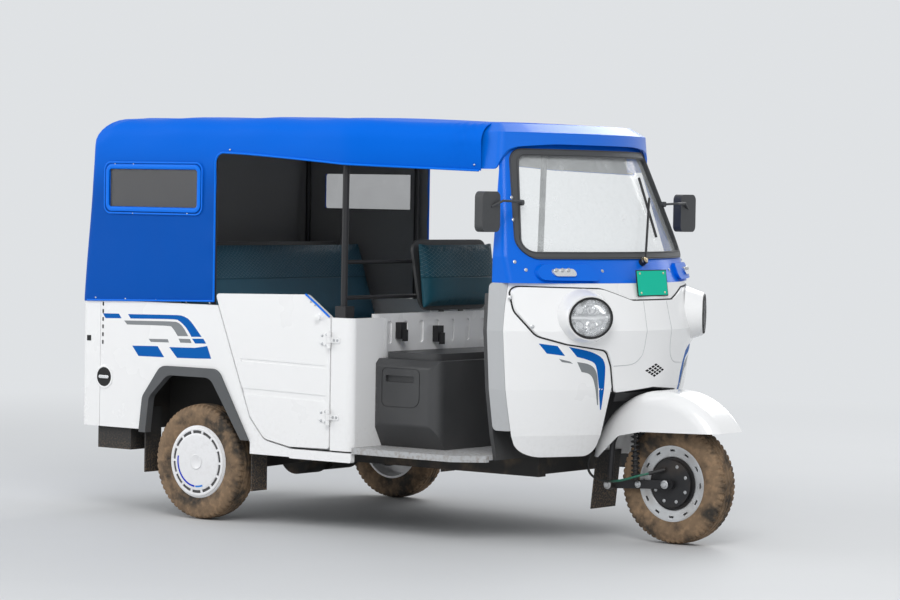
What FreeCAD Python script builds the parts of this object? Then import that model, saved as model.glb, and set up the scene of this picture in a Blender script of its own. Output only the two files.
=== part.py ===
import FreeCAD, Part
import math
import os

# Electric passenger three-wheeler with a steered front wheel, a moulded front,
# two hinged rear doors and a fabric canopy over a tube frame.
# Every x below is measured forward from the rear axle, y to the left of the
# centre line and z up from the ground. The finished part is moved along x so
# that its origin lies on the ground under the middle of its length.

Vector = FreeCAD.Vector

# Clearances
seat_gap = 0.3
joint_line = 1.5
door_gap = 7.2
shaft_gap = 0.3

# Wheels
wheelbase = 2008.0
tyre_radius = 250.0
tyre_width = 125.0
bead_radius = 158.0
bead_width = 104.0
shoulder_width = 96.0
rim_wall = 9.0
hub_radius = 34.0
spindle_radius = 15.0
cover_dome = 10.0
cover_skin = 4.0
cover_slots = 14
slot_length = 22.0
slot_width = 8.0
slot_circle = 138.0
front_slots = 12
front_drum_radius = 100.0
front_drum_width = 88.0
drum_fins = 5
front_axle_radius = 10.0

# Body sides
rear_end = -690.0
corner_seam = -571.0
body_half_width = 750.0
wall = 25.0
wheel_tuck = 74.5
rear_track = 2 * (body_half_width - wheel_tuck)
waist_height = 935.0
body_bottom = 374.0
door_top_height = 985.0
sill_bottom = 301.0
sill_top = 348.0
door_rear_top = 106.0
door_rear_bottom = 313.0
door_front = 748.0
door_shoulder = 612.0
door_shoulder_height = 997.0
door_front_height = 903.0
door_curve_height = 463.0
door_bottom_height = 354.0
arch_top = 660.0
arch_rear_top = -192.0
arch_front_top = 122.0
arch_rear_bottom = -324.0
arch_front_bottom = 313.0
flare_band = 40.0
flare_proud = 12.0
post_front = 868.0
post_top = 905.0
post_inner = body_half_width - 210.0
post_round = 30.0

# Floors and frame
floor_top = 365.0
floor_thickness = 20.0
rail_height = 80.0
rail_width = 50.0
rail_spread = 330.0
rail_kick = 215.0
rear_floor_top = 600.0
luggage_floor_thickness = 16.0
wheelhouse_inner = body_half_width - 190.0
wheelhouse_skin = 4.0
bulkhead_thickness = 18.0
dash_height = 1030.0
partition_x = 800.0
partition_thickness = 20.0
partition_top = 918.0

tow_eye_radius = 14.0
tow_eye_width = 12.0
tow_eye_x = -633.0
tow_eye_height = 520.0
last_member_x = -610.0

# Front mouldings
cowl_radius = 880.0
scuttle_radius = 1000.0
screen_radius = 1150.0
front_corner_round = 34.0
front_skin = 25.0
cowl_bottom = 360.0
cowl_top = 1074.0
cowl_rear = 1500.0
cowl_seam = 1580.0
cowl_foot_round = 60.0
strip_bottom = 470.0
strip_round = 20.0
cowl_tuck = 95.0
bulkhead_x = cowl_rear - seat_gap - bulkhead_thickness
nose_proud = 10.0
lamp_height = 936.5
lamp_spread = 424.0
lamp_face = 1845.5
lamp_turn = 29.0
lamp_wide = 90.0
lamp_high = 76.0
lamp_rim = 9.0
lamp_shoulder = 6.0
pod_flare = 26.0
pod_depth = 75.0
arch_half_width = 243.0
arch_ceiling = 700.0
arch_foot_round = 50.0
well_half_width = 262.0
well_rear = 1594.0
vent_rows = 4
vent_pitch = 38.0
vent_height = 712.0
plate_width = 222.0
plate_height = 104.0
plate_middle = 1074.0
plate_lean = 14.0
plate_skin = 3.0

# Windscreen
scuttle_top = 1180.0
header_height = 1662.0
screen_bottom = 1172.0
screen_top = header_height - 40.0
screen_bottom_half = 613.0
screen_top_half = 489.0
screen_round = 70.0
seal_width = 28.0
seal_proud = 7.0
glass_inset = 8.0
glass_thickness = 5.0
visor_skin = 8.0

# Canopy
canopy_half_width = body_half_width + 5.0
canopy_bottom = 921.0
crown_height = 1755.0
fabric = 4.0
canopy_front = 1380.0
canopy_quarter_front = 99.0
canopy_split = crown_height - 155.0
taper_start = 850.0
taper_half_width = 540.0
taper_end = 1440.0
window_rear = -522.0
window_front = -6.0
window_top = canopy_split - 84.0
window_bottom = window_top - 164.0
pane_lap = 12.0
pane = 1.5
frame_tube = 12.0
frame_tube_height = crown_height - 87.0
frame_half_width = canopy_half_width - 43.0

# Steering
steer_ground_x = 2040.0
steer_rake = 25.0
column_radius = 19.7
head_tube_radius = 29.0
head_tube_low = 700.0
head_tube_high = 900.0
brace_top = 850.0
brace_setback = 37.6
crown_low = 480.0
crown_thickness = 38.0
fork_half_width = 100.0
fork_radius = 12.0
fork_pivot_x = 1732.0
fork_pivot_height = 231.0
link_inner = 70.0
link_thickness = 14.0
link_height = 36.0
damper_x = 1862.0
damper_radius = 20.0
bar_height = 1085.0
bar_radius = 11.0
grip_radius = 16.0
grip_length = 115.0

# Front fender
fender_x = 1976.0
fender_height = 298.0
fender_radius = 336.0
fender_half_width = 130.0
fender_round = 62.0
fender_skin = 4.0
fender_rear_angle = 172.0
fender_tip_angle = 31.4
skirt_height = 462.0

# Seats
cushion_top = 800.0
cushion_thickness = 98.0
cushion_front = 330.0
cushion_rear = -165.0
cushion_half_width = body_half_width - 95.0
backrest_top = 1212.0
backrest_lean = 135.0
backrest_thickness = 80.0
driver_pad_half = 264.0
driver_pad_low = 932.0
driver_pad_high = 1225.0
driver_pad_x = 815.0
driver_pad_lean = 30.0

# Seat box of the driver
box_front = 1205.0
box_rear = 843.0
box_half_width = body_half_width - 150.0
box_top = 735.0
box_round = 55.0
lid_height = 28.0


def unit(v):
    return v / v.Length


def rounded_wire(points, radii, closed):
    # Straight runs between the points, each corner rounded by its own radius.
    cuts = []
    for i, (point, radius) in enumerate(zip(points, radii)):
        at_end = not closed and i in (0, len(points) - 1)
        if radius == 0 or at_end:
            cuts.append((point, None, point))
            continue
        back = unit(points[i - 1] - point)
        ahead = unit(points[(i + 1) % len(points)] - point)
        half = back.getAngle(ahead) / 2
        reach = radius / math.tan(half)
        inward = unit(back + ahead)
        middle = point + inward * (radius / math.sin(half) - radius)
        cuts.append((point + back * reach, middle, point + ahead * reach))
    edges = []
    for i, (start, middle, end) in enumerate(cuts):
        if middle is not None:
            edges.append(Part.Arc(start, middle, end).toShape())
        if i == len(cuts) - 1 and not closed:
            break
        following = cuts[(i + 1) % len(cuts)][0]
        if (following - end).Length > 1e-6:
            edges.append(Part.makeLine(end, following))
    return Part.Wire(edges)


def side_prism(outline, y_from, y_to):
    # The outline holds (x, z, corner radius).
    points = [Vector(x, y_from, z) for x, z, r in outline]
    wire = rounded_wire(points, [r for x, z, r in outline], True)
    return Part.Face(wire).extrude(Vector(0, y_to - y_from, 0))


def front_prism(outline, x_from, x_to):
    # The outline holds (y, z, corner radius).
    points = [Vector(x_from, y, z) for y, z, r in outline]
    wire = rounded_wire(points, [r for y, z, r in outline], True)
    return Part.Face(wire).extrude(Vector(x_to - x_from, 0, 0))


def plan_prism(outline, z_from, z_to):
    # The outline holds (x, y, corner radius).
    points = [Vector(x, y, z_from) for x, y, r in outline]
    wire = rounded_wire(points, [r for x, y, r in outline], True)
    return Part.Face(wire).extrude(Vector(0, 0, z_to - z_from))


def block(x_from, x_to, y_from, y_to, z_from, z_to):
    corner = Vector(x_from, y_from, z_from)
    return Part.makeBox(x_to - x_from, y_to - y_from, z_to - z_from, corner)


def bar(start, end, radius):
    return Part.makeCylinder(radius, (end - start).Length, start, end - start)


def bent_tube(points, radius, bend):
    path = rounded_wire(points, [bend] * len(points), False)
    ring = Part.Wire(Part.makeCircle(radius, points[0], points[1] - points[0]))
    return path.makePipeShell([ring], True, False)


def turned(outline, x, y, z):
    # The outline holds (across, radius, corner radius) about a crosswise axis.
    points = [Vector(0, across, r) for across, r, fillet in outline]
    wire = rounded_wire(points, [fillet for across, r, fillet in outline], True)
    solid = Part.Face(wire).revolve(Vector(0, 0, 0), Vector(0, 1, 0), 360)
    solid.translate(Vector(x, y, z))
    return solid


def mirrored(shape):
    return shape.mirror(Vector(0, 0, 0), Vector(0, 1, 0))


def pair(shape):
    # The right-hand piece and its left-hand twin.
    return Part.makeCompound([shape, mirrored(shape)])


def mirror_outline(right_half):
    # Right half listed from the centre line outwards, as (y, z, radius).
    left_half = [(-y, z, r) for y, z, r in reversed(right_half) if y != 0]
    return right_half + left_half


def steer_point(z, y=0.0):
    slope = math.tan(math.radians(steer_rake))
    return Vector(steer_ground_x - z * slope, y, z)


def grown(outline, gap):
    # The outline moved outwards by a gap, with every edge kept parallel.
    count = len(outline)
    pairs = [(outline[i - 1], outline[i]) for i in range(count)]
    doubled_area = sum(a[0] * b[1] - b[0] * a[1] for a, b in pairs)
    turn = 1.0 if doubled_area > 0 else -1.0
    moved = []
    for i, (x, z, radius) in enumerate(outline):
        before, after = outline[i - 1], outline[(i + 1) % count]
        way_in = unit(Vector(x - before[0], z - before[1], 0))
        way_out = unit(Vector(after[0] - x, after[1] - z, 0))
        normal_in = Vector(way_in.y, -way_in.x, 0) * turn
        normal_out = Vector(way_out.y, -way_out.x, 0) * turn
        shift = (normal_in + normal_out) * (gap / (1 + normal_in.dot(normal_out)))
        outer_corner = way_in.cross(way_out).z * turn > 0
        fillet = radius + gap if outer_corner else radius - gap
        moved.append((x + shift.x, z + shift.y, max(fillet, 0.0) if radius else 0.0))
    return moved


# Front shell: bowed across the vehicle, with rounded corners and side returns
def bow_points(section, inset):
    radius = section["radius"] - inset
    centre_x = section["apex"] - section["radius"]
    half_width = section["half"]
    corner = max(front_corner_round - inset, 4.0)
    corner_y = half_width - inset - corner
    corner_x = centre_x + math.sqrt((radius - corner) ** 2 - corner_y ** 2)
    outward = unit(Vector(corner_x - centre_x, corner_y, 0))
    middle_way = unit(outward + Vector(0, 1, 0))
    corner_centre = Vector(corner_x, corner_y, 0)
    return {
        "side": Vector(corner_x, half_width - inset, 0),
        "corner": corner_centre + middle_way * corner,
        "front": Vector(centre_x, 0, 0) + outward * radius,
        "apex": Vector(centre_x + radius, 0, 0),
    }


def bow_section(section, inset, depth):
    height = Vector(0, 0, section["z"])

    def place(point, left):
        return Vector(point.x, point.y if left else -point.y, 0) + height

    def line(inset_now):
        p = bow_points(section, inset_now)
        rear_y = section["half"] - inset_now
        rear = Vector(section["rear"], rear_y, 0)
        return [
            Part.makeLine(place(rear, False), place(p["side"], False)),
            Part.Arc(place(p["side"], False), place(p["corner"], False), place(p["front"], False)).toShape(),
            Part.Arc(place(p["front"], False), place(p["apex"], True), place(p["front"], True)).toShape(),
            Part.Arc(place(p["front"], True), place(p["corner"], True), place(p["side"], True)).toShape(),
            Part.makeLine(place(p["side"], True), place(rear, True)),
        ]

    outer = line(inset)
    inner = line(inset + depth)
    rear_outer = section["half"] - inset
    rear_inner = rear_outer - depth
    x = section["rear"]
    left_end = Part.makeLine(Vector(x, rear_outer, section["z"]), Vector(x, rear_inner, section["z"]))
    right_end = Part.makeLine(Vector(x, -rear_inner, section["z"]), Vector(x, -rear_outer, section["z"]))
    return Part.Wire(Part.__sortEdges__(outer + [left_end] + inner + [right_end]))


def bow_shell(sections, inset, depth):
    wires = [bow_section(section, inset, depth) for section in sections]
    return Part.makeLoft(wires, True, True)


def front_section(z, apex, half, rear, radius):
    return {"z": z, "apex": apex, "half": half, "rear": rear, "radius": radius}


cowl_top_half = body_half_width - cowl_tuck
cowl_sections = [
    front_section(cowl_bottom, 1775.0, cowl_top_half - 70.0, cowl_rear, cowl_radius),
    front_section(450.0, 1815.0, cowl_top_half - 45.0, cowl_rear, cowl_radius),
    front_section(640.0, 1862.0, cowl_top_half - 10.0, cowl_rear, cowl_radius),
    front_section(880.0, 1897.0, cowl_top_half + 10.0, cowl_rear, cowl_radius),
    front_section(cowl_top, 1852.0, cowl_top_half, cowl_rear, cowl_radius),
]
screen_sections = [
    front_section(cowl_top + seat_gap, 1840.0, cowl_top_half - 3.0, cowl_rear + 12.0, scuttle_radius),
    front_section(scuttle_top, 1772.0, cowl_top_half - 5.0, cowl_rear + 12.0, screen_radius),
    front_section(header_height, 1556.0, 500.0, cowl_rear - 65.0, screen_radius),
]


def section_at(sections, z):
    # Cross-section of a front shell at a height, between its named sections.
    for low, high in zip(sections, sections[1:]):
        if low["z"] <= z <= high["z"]:
            share = (z - low["z"]) / (high["z"] - low["z"])
            return {key: low[key] + share * (high[key] - low[key]) for key in low}
    raise ValueError("height outside the shell")


def bow_apex(sections, z):
    return section_at(sections, z)["apex"]


def bow_x(sections, y, z):
    # x of the outer surface at a place away from the corners.
    section = section_at(sections, z)
    return section["apex"] - section["radius"] + math.sqrt(section["radius"] ** 2 - y ** 2)


# Nose, cowl and lamps
def nose_outline():
    right_half = [
        (0, 1004, 0),
        (-150, 1004, 60),
        (-300, 1052, 120),
        (-638, 1061, 30),
        (-634, 960, 60),
        (-580, 862, 60),
        (-470, 828, 80),
        (-296, 800, 40),
        (-262, 735, 40),
        (-232, 624, 16),
        (0, 641, 0),
    ]
    return mirror_outline(right_half)


def front_of(sections):
    return max(section["apex"] for section in sections) + 200.0


def behind(sections):
    return min(section["rear"] for section in sections) - 200.0


def through(sections, outline):
    # The outline as a bar from behind a front shell to before it.
    return front_prism(outline, behind(sections), front_of(sections))


def across_front():
    return body_half_width + wall


def cowl_rear_cut():
    # Everything behind the seam and under the cowl, with its lower corner rounded.
    seam = cowl_seam + joint_line
    return side_prism([
        (seam, cowl_top + wall, 0), (seam, cowl_bottom, cowl_foot_round), (2000, cowl_bottom, 0),
        (2000, cowl_bottom - 100, 0), (1300, cowl_bottom - 100, 0), (1300, cowl_top + wall, 0),
    ], -across_front(), across_front())


def wheel_arch_outline():
    # Arch with its feet rounded into the lower edge of the cowl.
    half, foot = arch_half_width, arch_half_width + 160
    return [
        (-foot, cowl_bottom - 100, 0), (-foot, cowl_bottom, 0), (-half, cowl_bottom, arch_foot_round),
        (-half, arch_ceiling, 60), (half, arch_ceiling, 60), (half, cowl_bottom, arch_foot_round),
        (foot, cowl_bottom, 0), (foot, cowl_bottom - 100, 0),
    ]


def front_cowl():
    shell = bow_shell(cowl_sections, 0.0, front_skin)
    nose_hole = through(cowl_sections, nose_outline())
    arch = through(cowl_sections, wheel_arch_outline())
    return shell.cut(cowl_rear_cut()).cut(nose_hole).cut(arch)


def cowl_strips():
    shell = bow_shell(cowl_sections, 0.0, front_skin)
    keep = side_prism([
        (cowl_rear, strip_bottom, strip_round), (cowl_seam, strip_bottom, 4),
        (cowl_seam, cowl_top, 0), (cowl_rear, cowl_top, strip_round),
    ], -across_front(), across_front())
    return shell.common(keep)


def cowl_inside():
    return bow_solid(cowl_sections, front_skin + seat_gap)


def oval_wire(grow, x):
    ellipse = Part.Ellipse(Vector(0, 0, 0), lamp_wide + grow, lamp_high + grow).toShape()
    wire = Part.Wire(ellipse)
    wire.rotate(Vector(0, 0, 0), Vector(1, 0, 0), 90)
    wire.rotate(Vector(0, 0, 0), Vector(0, 0, 1), 90)
    wire.translate(Vector(x, 0, 0))
    return wire


def oval(grow, x_from, x_to):
    # Upright oval bar that faces forward, about the middle of a lamp.
    return Part.Face(oval_wire(grow, x_from)).extrude(Vector(x_to - x_from, 0, 0))


def at_lamp(shape, side):
    # Turned outwards and moved to the lamp on one side.
    shape.rotate(Vector(0, 0, 0), Vector(0, 0, 1), side * lamp_turn)
    shape.translate(Vector(lamp_face, side * lamp_spread, lamp_height))
    return shape


def at_both_lamps(maker):
    return [at_lamp(maker(), side) for side in (-1, 1)]


def lamp_pod():
    rim = lamp_rim + lamp_shoulder
    return Part.makeLoft([oval_wire(rim + pod_flare, -pod_depth), oval_wire(rim, 0)], True, True)


def nose_fascia():
    shell = bow_shell(cowl_sections, -nose_proud, front_skin + nose_proud)
    outline = grown(nose_outline(), -joint_line)
    fascia = shell.common(front_prism(outline, cowl_seam + joint_line, front_of(cowl_sections)))
    cavity = bow_shell(cowl_sections, front_skin, 200.0)
    for pod in at_both_lamps(lamp_pod):
        fascia = fascia.fuse(pod.cut(cavity))
    for bore in at_both_lamps(lambda: oval(lamp_rim + seat_gap, -2 * pod_depth, pod_depth)):
        fascia = fascia.cut(bore)
    return fascia.cut(nose_vents()).removeSplitter()


def nose_vents():
    # Rhombus of small rhombic slots.
    slots = []
    half_wide, half_high = 14.0, 6.0
    for row in range(vent_rows):
        for column in range(vent_rows):
            y = (row - column) * vent_pitch / 2
            z = vent_height + (row + column - vent_rows + 1) * vent_pitch * 0.2
            outline = [
                (y - half_wide, z, 0), (y, z - half_high, 0), (y + half_wide, z, 0), (y, z + half_high, 0),
            ]
            slots.append(front_prism(outline, lamp_face - 60, front_of(cowl_sections)))
    return Part.makeCompound(slots)


def lamp_cup():
    return oval(lamp_rim, -pod_depth, 4).cut(oval(0, 8 - pod_depth, 10))


def headlamp_rims():
    return Part.makeCompound(at_both_lamps(lamp_cup))


def lamp_lens():
    # Clear oval with a domed face.
    rise = 14.0
    ball = (lamp_wide ** 2 + rise ** 2) / (2 * rise)
    dome = Part.makeSphere(ball, Vector(rise - ball, 0, 0))
    return oval(-seat_gap, -6, rise + 2).common(dome)


def headlamp_lenses():
    return Part.makeCompound(at_both_lamps(lamp_lens))


def front_plate():
    low = plate_middle - plate_height / 2
    high = low + plate_height
    x = bow_apex(cowl_sections, low) + seat_gap
    return side_prism([
        (x, low, 0), (x + plate_skin, low, 0),
        (x + plate_skin - plate_lean, high, 0), (x - plate_lean, high, 0),
    ], -plate_width / 2, plate_width / 2)


# Screen frame, glass and what it carries
def screen_outline(margin, radius):
    return [
        (-(screen_bottom_half + margin), screen_bottom - margin, radius),
        (screen_bottom_half + margin, screen_bottom - margin, radius),
        (screen_top_half + margin, screen_top + margin, radius),
        (-(screen_top_half + margin), screen_top + margin, radius),
    ]


def screen_frame():
    shell = bow_shell(screen_sections, 0.0, front_skin)
    opening = through(screen_sections, screen_outline(0, screen_round))
    frame = shell.cut(opening)
    proud = bow_shell(screen_sections, -18.0, 24.0)
    for side in (-1, 1):
        outline = [(side * y, z, r) for y, z, r in
                   [(592, 1088, 26), (288, 1084, 22), (318, 1152, 22), (530, 1152, 40)]]
        frame = frame.fuse(proud.common(through(screen_sections, outline)))
    return frame.removeSplitter()


def indicator_lenses():
    shell = bow_shell(screen_sections, -26.0, 26.0 - 18.0 - seat_gap)
    outline = [(-503, 1104, 14), (-407, 1104, 14), (-407, 1134, 14), (-503, 1134, 14)]
    return pair(shell.common(front_prism(outline, 1500, front_of(screen_sections))))


def screen_seal():
    shell = bow_shell(screen_sections, -seal_proud, front_skin + seal_proud)
    outer = through(screen_sections, screen_outline(-seat_gap, screen_round))
    inner = through(screen_sections, screen_outline(-seal_width, screen_round - seal_width))
    return shell.common(outer).cut(inner)


def screen_glass():
    shell = bow_shell(screen_sections, glass_inset, glass_thickness)
    margin = seal_width + seat_gap
    return shell.common(through(screen_sections, screen_outline(-margin, screen_round - seal_width)))


def wiper():
    # Pivot knob and arm, laid over towards the left side.
    z_pivot, z_tip, y_tip = 1154.0, 1425.0, 290.0
    pivot_x = bow_apex(screen_sections, z_pivot)
    slope = (pivot_x - bow_apex(screen_sections, z_pivot + 10)) / 10
    knob = Part.makeCylinder(15, 26, Vector(pivot_x + 2 * seat_gap, 20, z_pivot), Vector(1, 0, slope))
    start = Vector(pivot_x + 22, 20, z_pivot + 9)
    end = Vector(bow_x(screen_sections, y_tip, z_tip) + 20, y_tip, z_tip)
    return knob.fuse(bar(start, end, 5))


def wiper_blade():
    radius = 5.5
    ends = []
    for y, z in ((262.0, 1262.0), (306.0, 1512.0)):
        ends.append(Vector(bow_x(screen_sections, y, z) - glass_inset + radius + 0.6, y, z))
    return bar(ends[0], ends[1], radius)


def mirrors():
    root_z, root_y = 1400.0, 528.0
    head_x, head_y, head_z = 1539.0, 730.0, 1362.0
    foot_radius = 12.0
    face_x = bow_x(screen_sections, root_y - foot_radius, root_z - foot_radius) + seat_gap
    root = Vector(face_x + 6, -root_y, root_z)
    arm = bent_tube([
        root,
        root + Vector(40, -50, 4),
        Vector(head_x + 40, -head_y + 55, head_z + 45),
        Vector(head_x + 20, -head_y, head_z + 20),
    ], 5.0, 16.0)
    head = front_prism([
        (-head_y - 60, head_z - 82, 26),
        (-head_y + 60, head_z - 82, 26),
        (-head_y + 60, head_z + 82, 26),
        (-head_y - 60, head_z + 82, 26),
    ], head_x - 18, head_x + 22)
    foot = Part.makeCylinder(foot_radius, 14, root - Vector(6, 0, 0), Vector(1, 0, 0))
    return pair(foot.fuse(arm).fuse(head))


def roof_visor():
    # Peak over the screen, bowed like it and falling to the front.
    rear = canopy_front - 22
    low, brow, high = header_height - 126.0, header_height + 28.0, header_height + 64.8
    rim_low = front_section(low, 1607.0, 552.0, rear, screen_radius)
    rim_high = front_section(brow, 1592.0, 534.0, rear, screen_radius)
    top = front_section(high, 1520.0, 490.0, rear, screen_radius)
    rim = bow_shell([rim_low, rim_high], 0.0, visor_skin)
    lip = header_height - 19.0
    slope = side_prism([
        (1300, low, 0), (1448, low, 20), (1482, lip - 16, 40), (1560, lip, 0), (1800, lip, 0),
        (1800, brow, 0), (1300, brow, 0),
    ], -across_front(), across_front())
    lid_outer = bow_solid([rim_high, top], 0.0)
    lid_inner = bow_solid([rim_high, top], visor_skin)
    lid_inner.translate(Vector(0, 0, -visor_skin))
    return rim.common(slope).fuse(lid_outer.cut(lid_inner)).removeSplitter()


def bow_solid(sections, inset):
    wires = []
    for section in sections:
        p = bow_points(section, inset)
        z = section["z"]
        rear_y = section["half"] - inset
        right = [Vector(v.x, -v.y, z) for v in (p["side"], p["corner"], p["front"])]
        left = [Vector(v.x, v.y, z) for v in (p["side"], p["corner"], p["front"])]
        apex = Vector(p["apex"].x, 0, z)
        rear_right = Vector(section["rear"], -rear_y, z)
        rear_left = Vector(section["rear"], rear_y, z)
        wires.append(Part.Wire([
            Part.makeLine(rear_right, right[0]),
            Part.Arc(right[0], right[1], right[2]).toShape(),
            Part.Arc(right[2], apex, left[2]).toShape(),
            Part.Arc(left[2], left[1], left[0]).toShape(),
            Part.makeLine(left[0], rear_left),
            Part.makeLine(rear_left, rear_right),
        ]))
    return Part.makeLoft(wires, True, True)


# Body sides
def door_outline(grow):
    return grown([
        (door_rear_top, door_top_height, 14),
        (door_shoulder, door_shoulder_height, 30),
        (door_front, door_front_height, 24),
        (door_front, door_bottom_height, 12),
        (530, door_bottom_height - 4, 60),
        (392, 376, 60),
        (door_rear_bottom, door_curve_height, 60),
    ], grow)


def arch_outline(grow):
    g = grow
    return [
        (arch_rear_bottom - g, 250, 0),
        (arch_rear_bottom - g, body_bottom, 0),
        (-306 - g, 520, 50),
        (arch_rear_top - 8 - g, arch_top + g, 60),
        (arch_front_top + 8 + g, arch_top + g, 60),
        (arch_front_bottom + g, 355, 0),
        (arch_front_bottom + g, 250, 0),
    ]


def side_panel_right():
    skin = side_prism([
        (corner_seam + joint_line, body_bottom, 0),
        (arch_rear_bottom, body_bottom, 0),
        (arch_rear_bottom, sill_bottom + 5, 0),
        (530, sill_bottom + 5, 0),
        (530, door_bottom_height, 0),
        (door_rear_top + 60, waist_height, 0),
        (corner_seam + joint_line, waist_height, 0),
    ], -body_half_width, -body_half_width + wall)
    skin = skin.cut(side_prism(door_outline(door_gap), -body_half_width - wall, -body_half_width + 2 * wall))
    skin = skin.cut(side_prism(arch_outline(0), -body_half_width - wall, -body_half_width + 2 * wall))
    return largest(skin)


def largest(shape):
    return max(shape.Solids, key=lambda solid: solid.Volume)


def arch_flare_right():
    outer = side_prism(arch_outline(-seat_gap), -body_half_width - flare_proud, -body_half_width + wall)
    far_out, far_in = -body_half_width - 2 * flare_proud, -body_half_width + 2 * wall
    inner = side_prism(arch_outline(-flare_band), far_out, far_in)
    keep = block(-500, 500, -900, -600, 362, 900)
    return largest(outer.cut(inner).common(keep))


def sill_right():
    return side_prism([
        (530 + seat_gap, sill_bottom, 8),
        (post_front, sill_bottom, 8),
        (post_front, sill_top - door_gap, 0),
        (530 + seat_gap, sill_top - door_gap, 0),
    ], -body_half_width, -body_half_width + wall)


def door_right():
    slab = side_prism(door_outline(0), -body_half_width, -body_half_width + wall)
    swages = []
    for low, high in ((700.0, 712.0), (560.0, 586.0)):
        groove = side_prism([
            (door_rear_top + 150, low, 0),
            (door_front - 20, low - 10, 0),
            (door_front - 20, high - 10, 0),
            (door_rear_top + 150, high, 0),
        ], -body_half_width - 1, -body_half_width + 3)
        swages.append(groove)
    return slab.cut(Part.makeCompound(swages))


def rear_corner_right():
    outer = plan_prism([
        (rear_end, -body_half_width, 40),
        (corner_seam - joint_line, -body_half_width, 0),
        (corner_seam - joint_line, -body_half_width + wall, 0),
        (rear_end + wall, -body_half_width + wall, 16),
        (rear_end + wall, -body_half_width + 110, 0),
        (rear_end, -body_half_width + 110, 0),
    ], body_bottom, waist_height)
    return outer


def rear_panel():
    half = body_half_width - 110 - joint_line
    slab = block(rear_end + 3, rear_end + wall, -half, half, body_bottom, waist_height)
    for low, high in ((440.0, 600.0), (680.0, 840.0)):
        recess = front_prism([
            (-half + 70, low, 20), (half - 70, low, 20), (half - 70, high, 20), (-half + 70, high, 20),
        ], rear_end, rear_end + 7)
        slab = slab.cut(recess)
    return slab


def tail_lamps():
    lens = front_prism([
        (-body_half_width + 48, 690, 12),
        (-body_half_width + 100, 690, 12),
        (-body_half_width + 100, 850, 12),
        (-body_half_width + 48, 850, 12),
    ], rear_end - seat_gap - 8, rear_end - seat_gap)
    return pair(lens)


def post_panel_right():
    # Post between door and driver's doorway, turned inwards behind the driver.
    post = plan_prism([
        (door_front + door_gap, -body_half_width, 0),
        (post_front, -body_half_width, post_round),
        (post_front, -post_inner, 0),
        (post_front - partition_thickness, -post_inner, 0),
        (post_front - partition_thickness, -body_half_width + wall, 10),
        (door_front + door_gap, -body_half_width + wall, 0),
    ], sill_top, post_top)
    return post.cut(block(0, 1000, -body_half_width + wall, 0, 0, floor_top + seat_gap))


def partition():
    half = post_inner - joint_line
    front = partition_x + partition_thickness
    panel = block(partition_x, front, -half, half, floor_top, partition_top)
    slots = []
    for i in range(9):
        y = -440.0 + i * 110.0
        slots.append(front_prism([
            (y - 16, 790, 14), (y + 16, 790, 14), (y + 16, 885, 14), (y - 16, 885, 14),
        ], front - 5, front + 5))
    panel = panel.cut(Part.makeCompound(slots))
    returns = []
    for side in (-1, 1):
        y_low, y_high = sorted((side * half, side * (half - partition_thickness)))
        returns.append(block(front, post_front, y_low, y_high, floor_top, post_top))
    return panel.fuse(returns).removeSplitter()


def latches():
    front = partition_x + partition_thickness
    latch = block(front + seat_gap, front + 30, -400, -360, 810, 880)
    hasp = block(front + 30, front + 44, -392, -368, 800, 850)
    return Part.makeCompound([latch.fuse(hasp), mirrored(latch.fuse(hasp)).translated(Vector(0, -500, -20))])


# Hinges
hinge_axis_x = door_front + door_gap / 2
hinge_offset = 13.5
hinge_axis_y = body_half_width + hinge_offset
hinge_heights = (488.0, 811.0)
hinge_pin_radius = 4.0
hinge_eye_radius = 8.0


def hinge_leaf(x_from, x_to, z, height):
    face = -body_half_width - seat_gap
    return side_prism([
        (x_from, z - height, 8), (x_to, z - height, 8), (x_to, z + height, 8), (x_from, z + height, 8),
    ], face - 4, face)


def door_leaf(x_from, x_to, z, height):
    # Leaf that narrows away from its knuckles.
    face = -body_half_width - seat_gap
    return side_prism([
        (x_from, z - 12, 8), (x_to, z - height, 8), (x_to, z + height, 8), (x_from, z + 12, 8),
    ], face - 4, face)


def door_hinges_right():
    # Leaves on the door, with the upper and lower knuckles.
    solids = []
    for z in hinge_heights:
        leaf = door_leaf(hinge_axis_x - 62, hinge_axis_x - 6, z, 34)
        arm = block(
            hinge_axis_x - 10, hinge_axis_x - 3, -hinge_axis_y - 3, -body_half_width - 2, z - 34, z + 34)
        knuckles = Part.makeCylinder(hinge_eye_radius, 68, Vector(hinge_axis_x, -hinge_axis_y, z - 34))
        gap = block(hinge_axis_x - 11, hinge_axis_x + 30, -900, -600, z - 13, z + 13)
        low = Vector(hinge_axis_x, -hinge_axis_y, z - 40)
        bore = Part.makeCylinder(hinge_pin_radius + shaft_gap, 80, low)
        solids.append(leaf.fuse([arm, knuckles]).cut(gap).cut(bore).removeSplitter())
    return Part.makeCompound(solids)


def post_hinges_right():
    # Leaves on the post, with the middle knuckle and the pin.
    solids = []
    for z in hinge_heights:
        leaf = hinge_leaf(hinge_axis_x + 6, hinge_axis_x + 50, z, 12)
        arm = block(hinge_axis_x, hinge_axis_x + 10, -hinge_axis_y - 3, -body_half_width - 2, z - 12, z + 12)
        knuckle = Part.makeCylinder(hinge_eye_radius, 24, Vector(hinge_axis_x, -hinge_axis_y, z - 12))
        pin = Part.makeCylinder(hinge_pin_radius, 76, Vector(hinge_axis_x, -hinge_axis_y, z - 38))
        solids.append(leaf.fuse([arm, knuckle, pin]).removeSplitter())
    return Part.makeCompound(solids)


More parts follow.
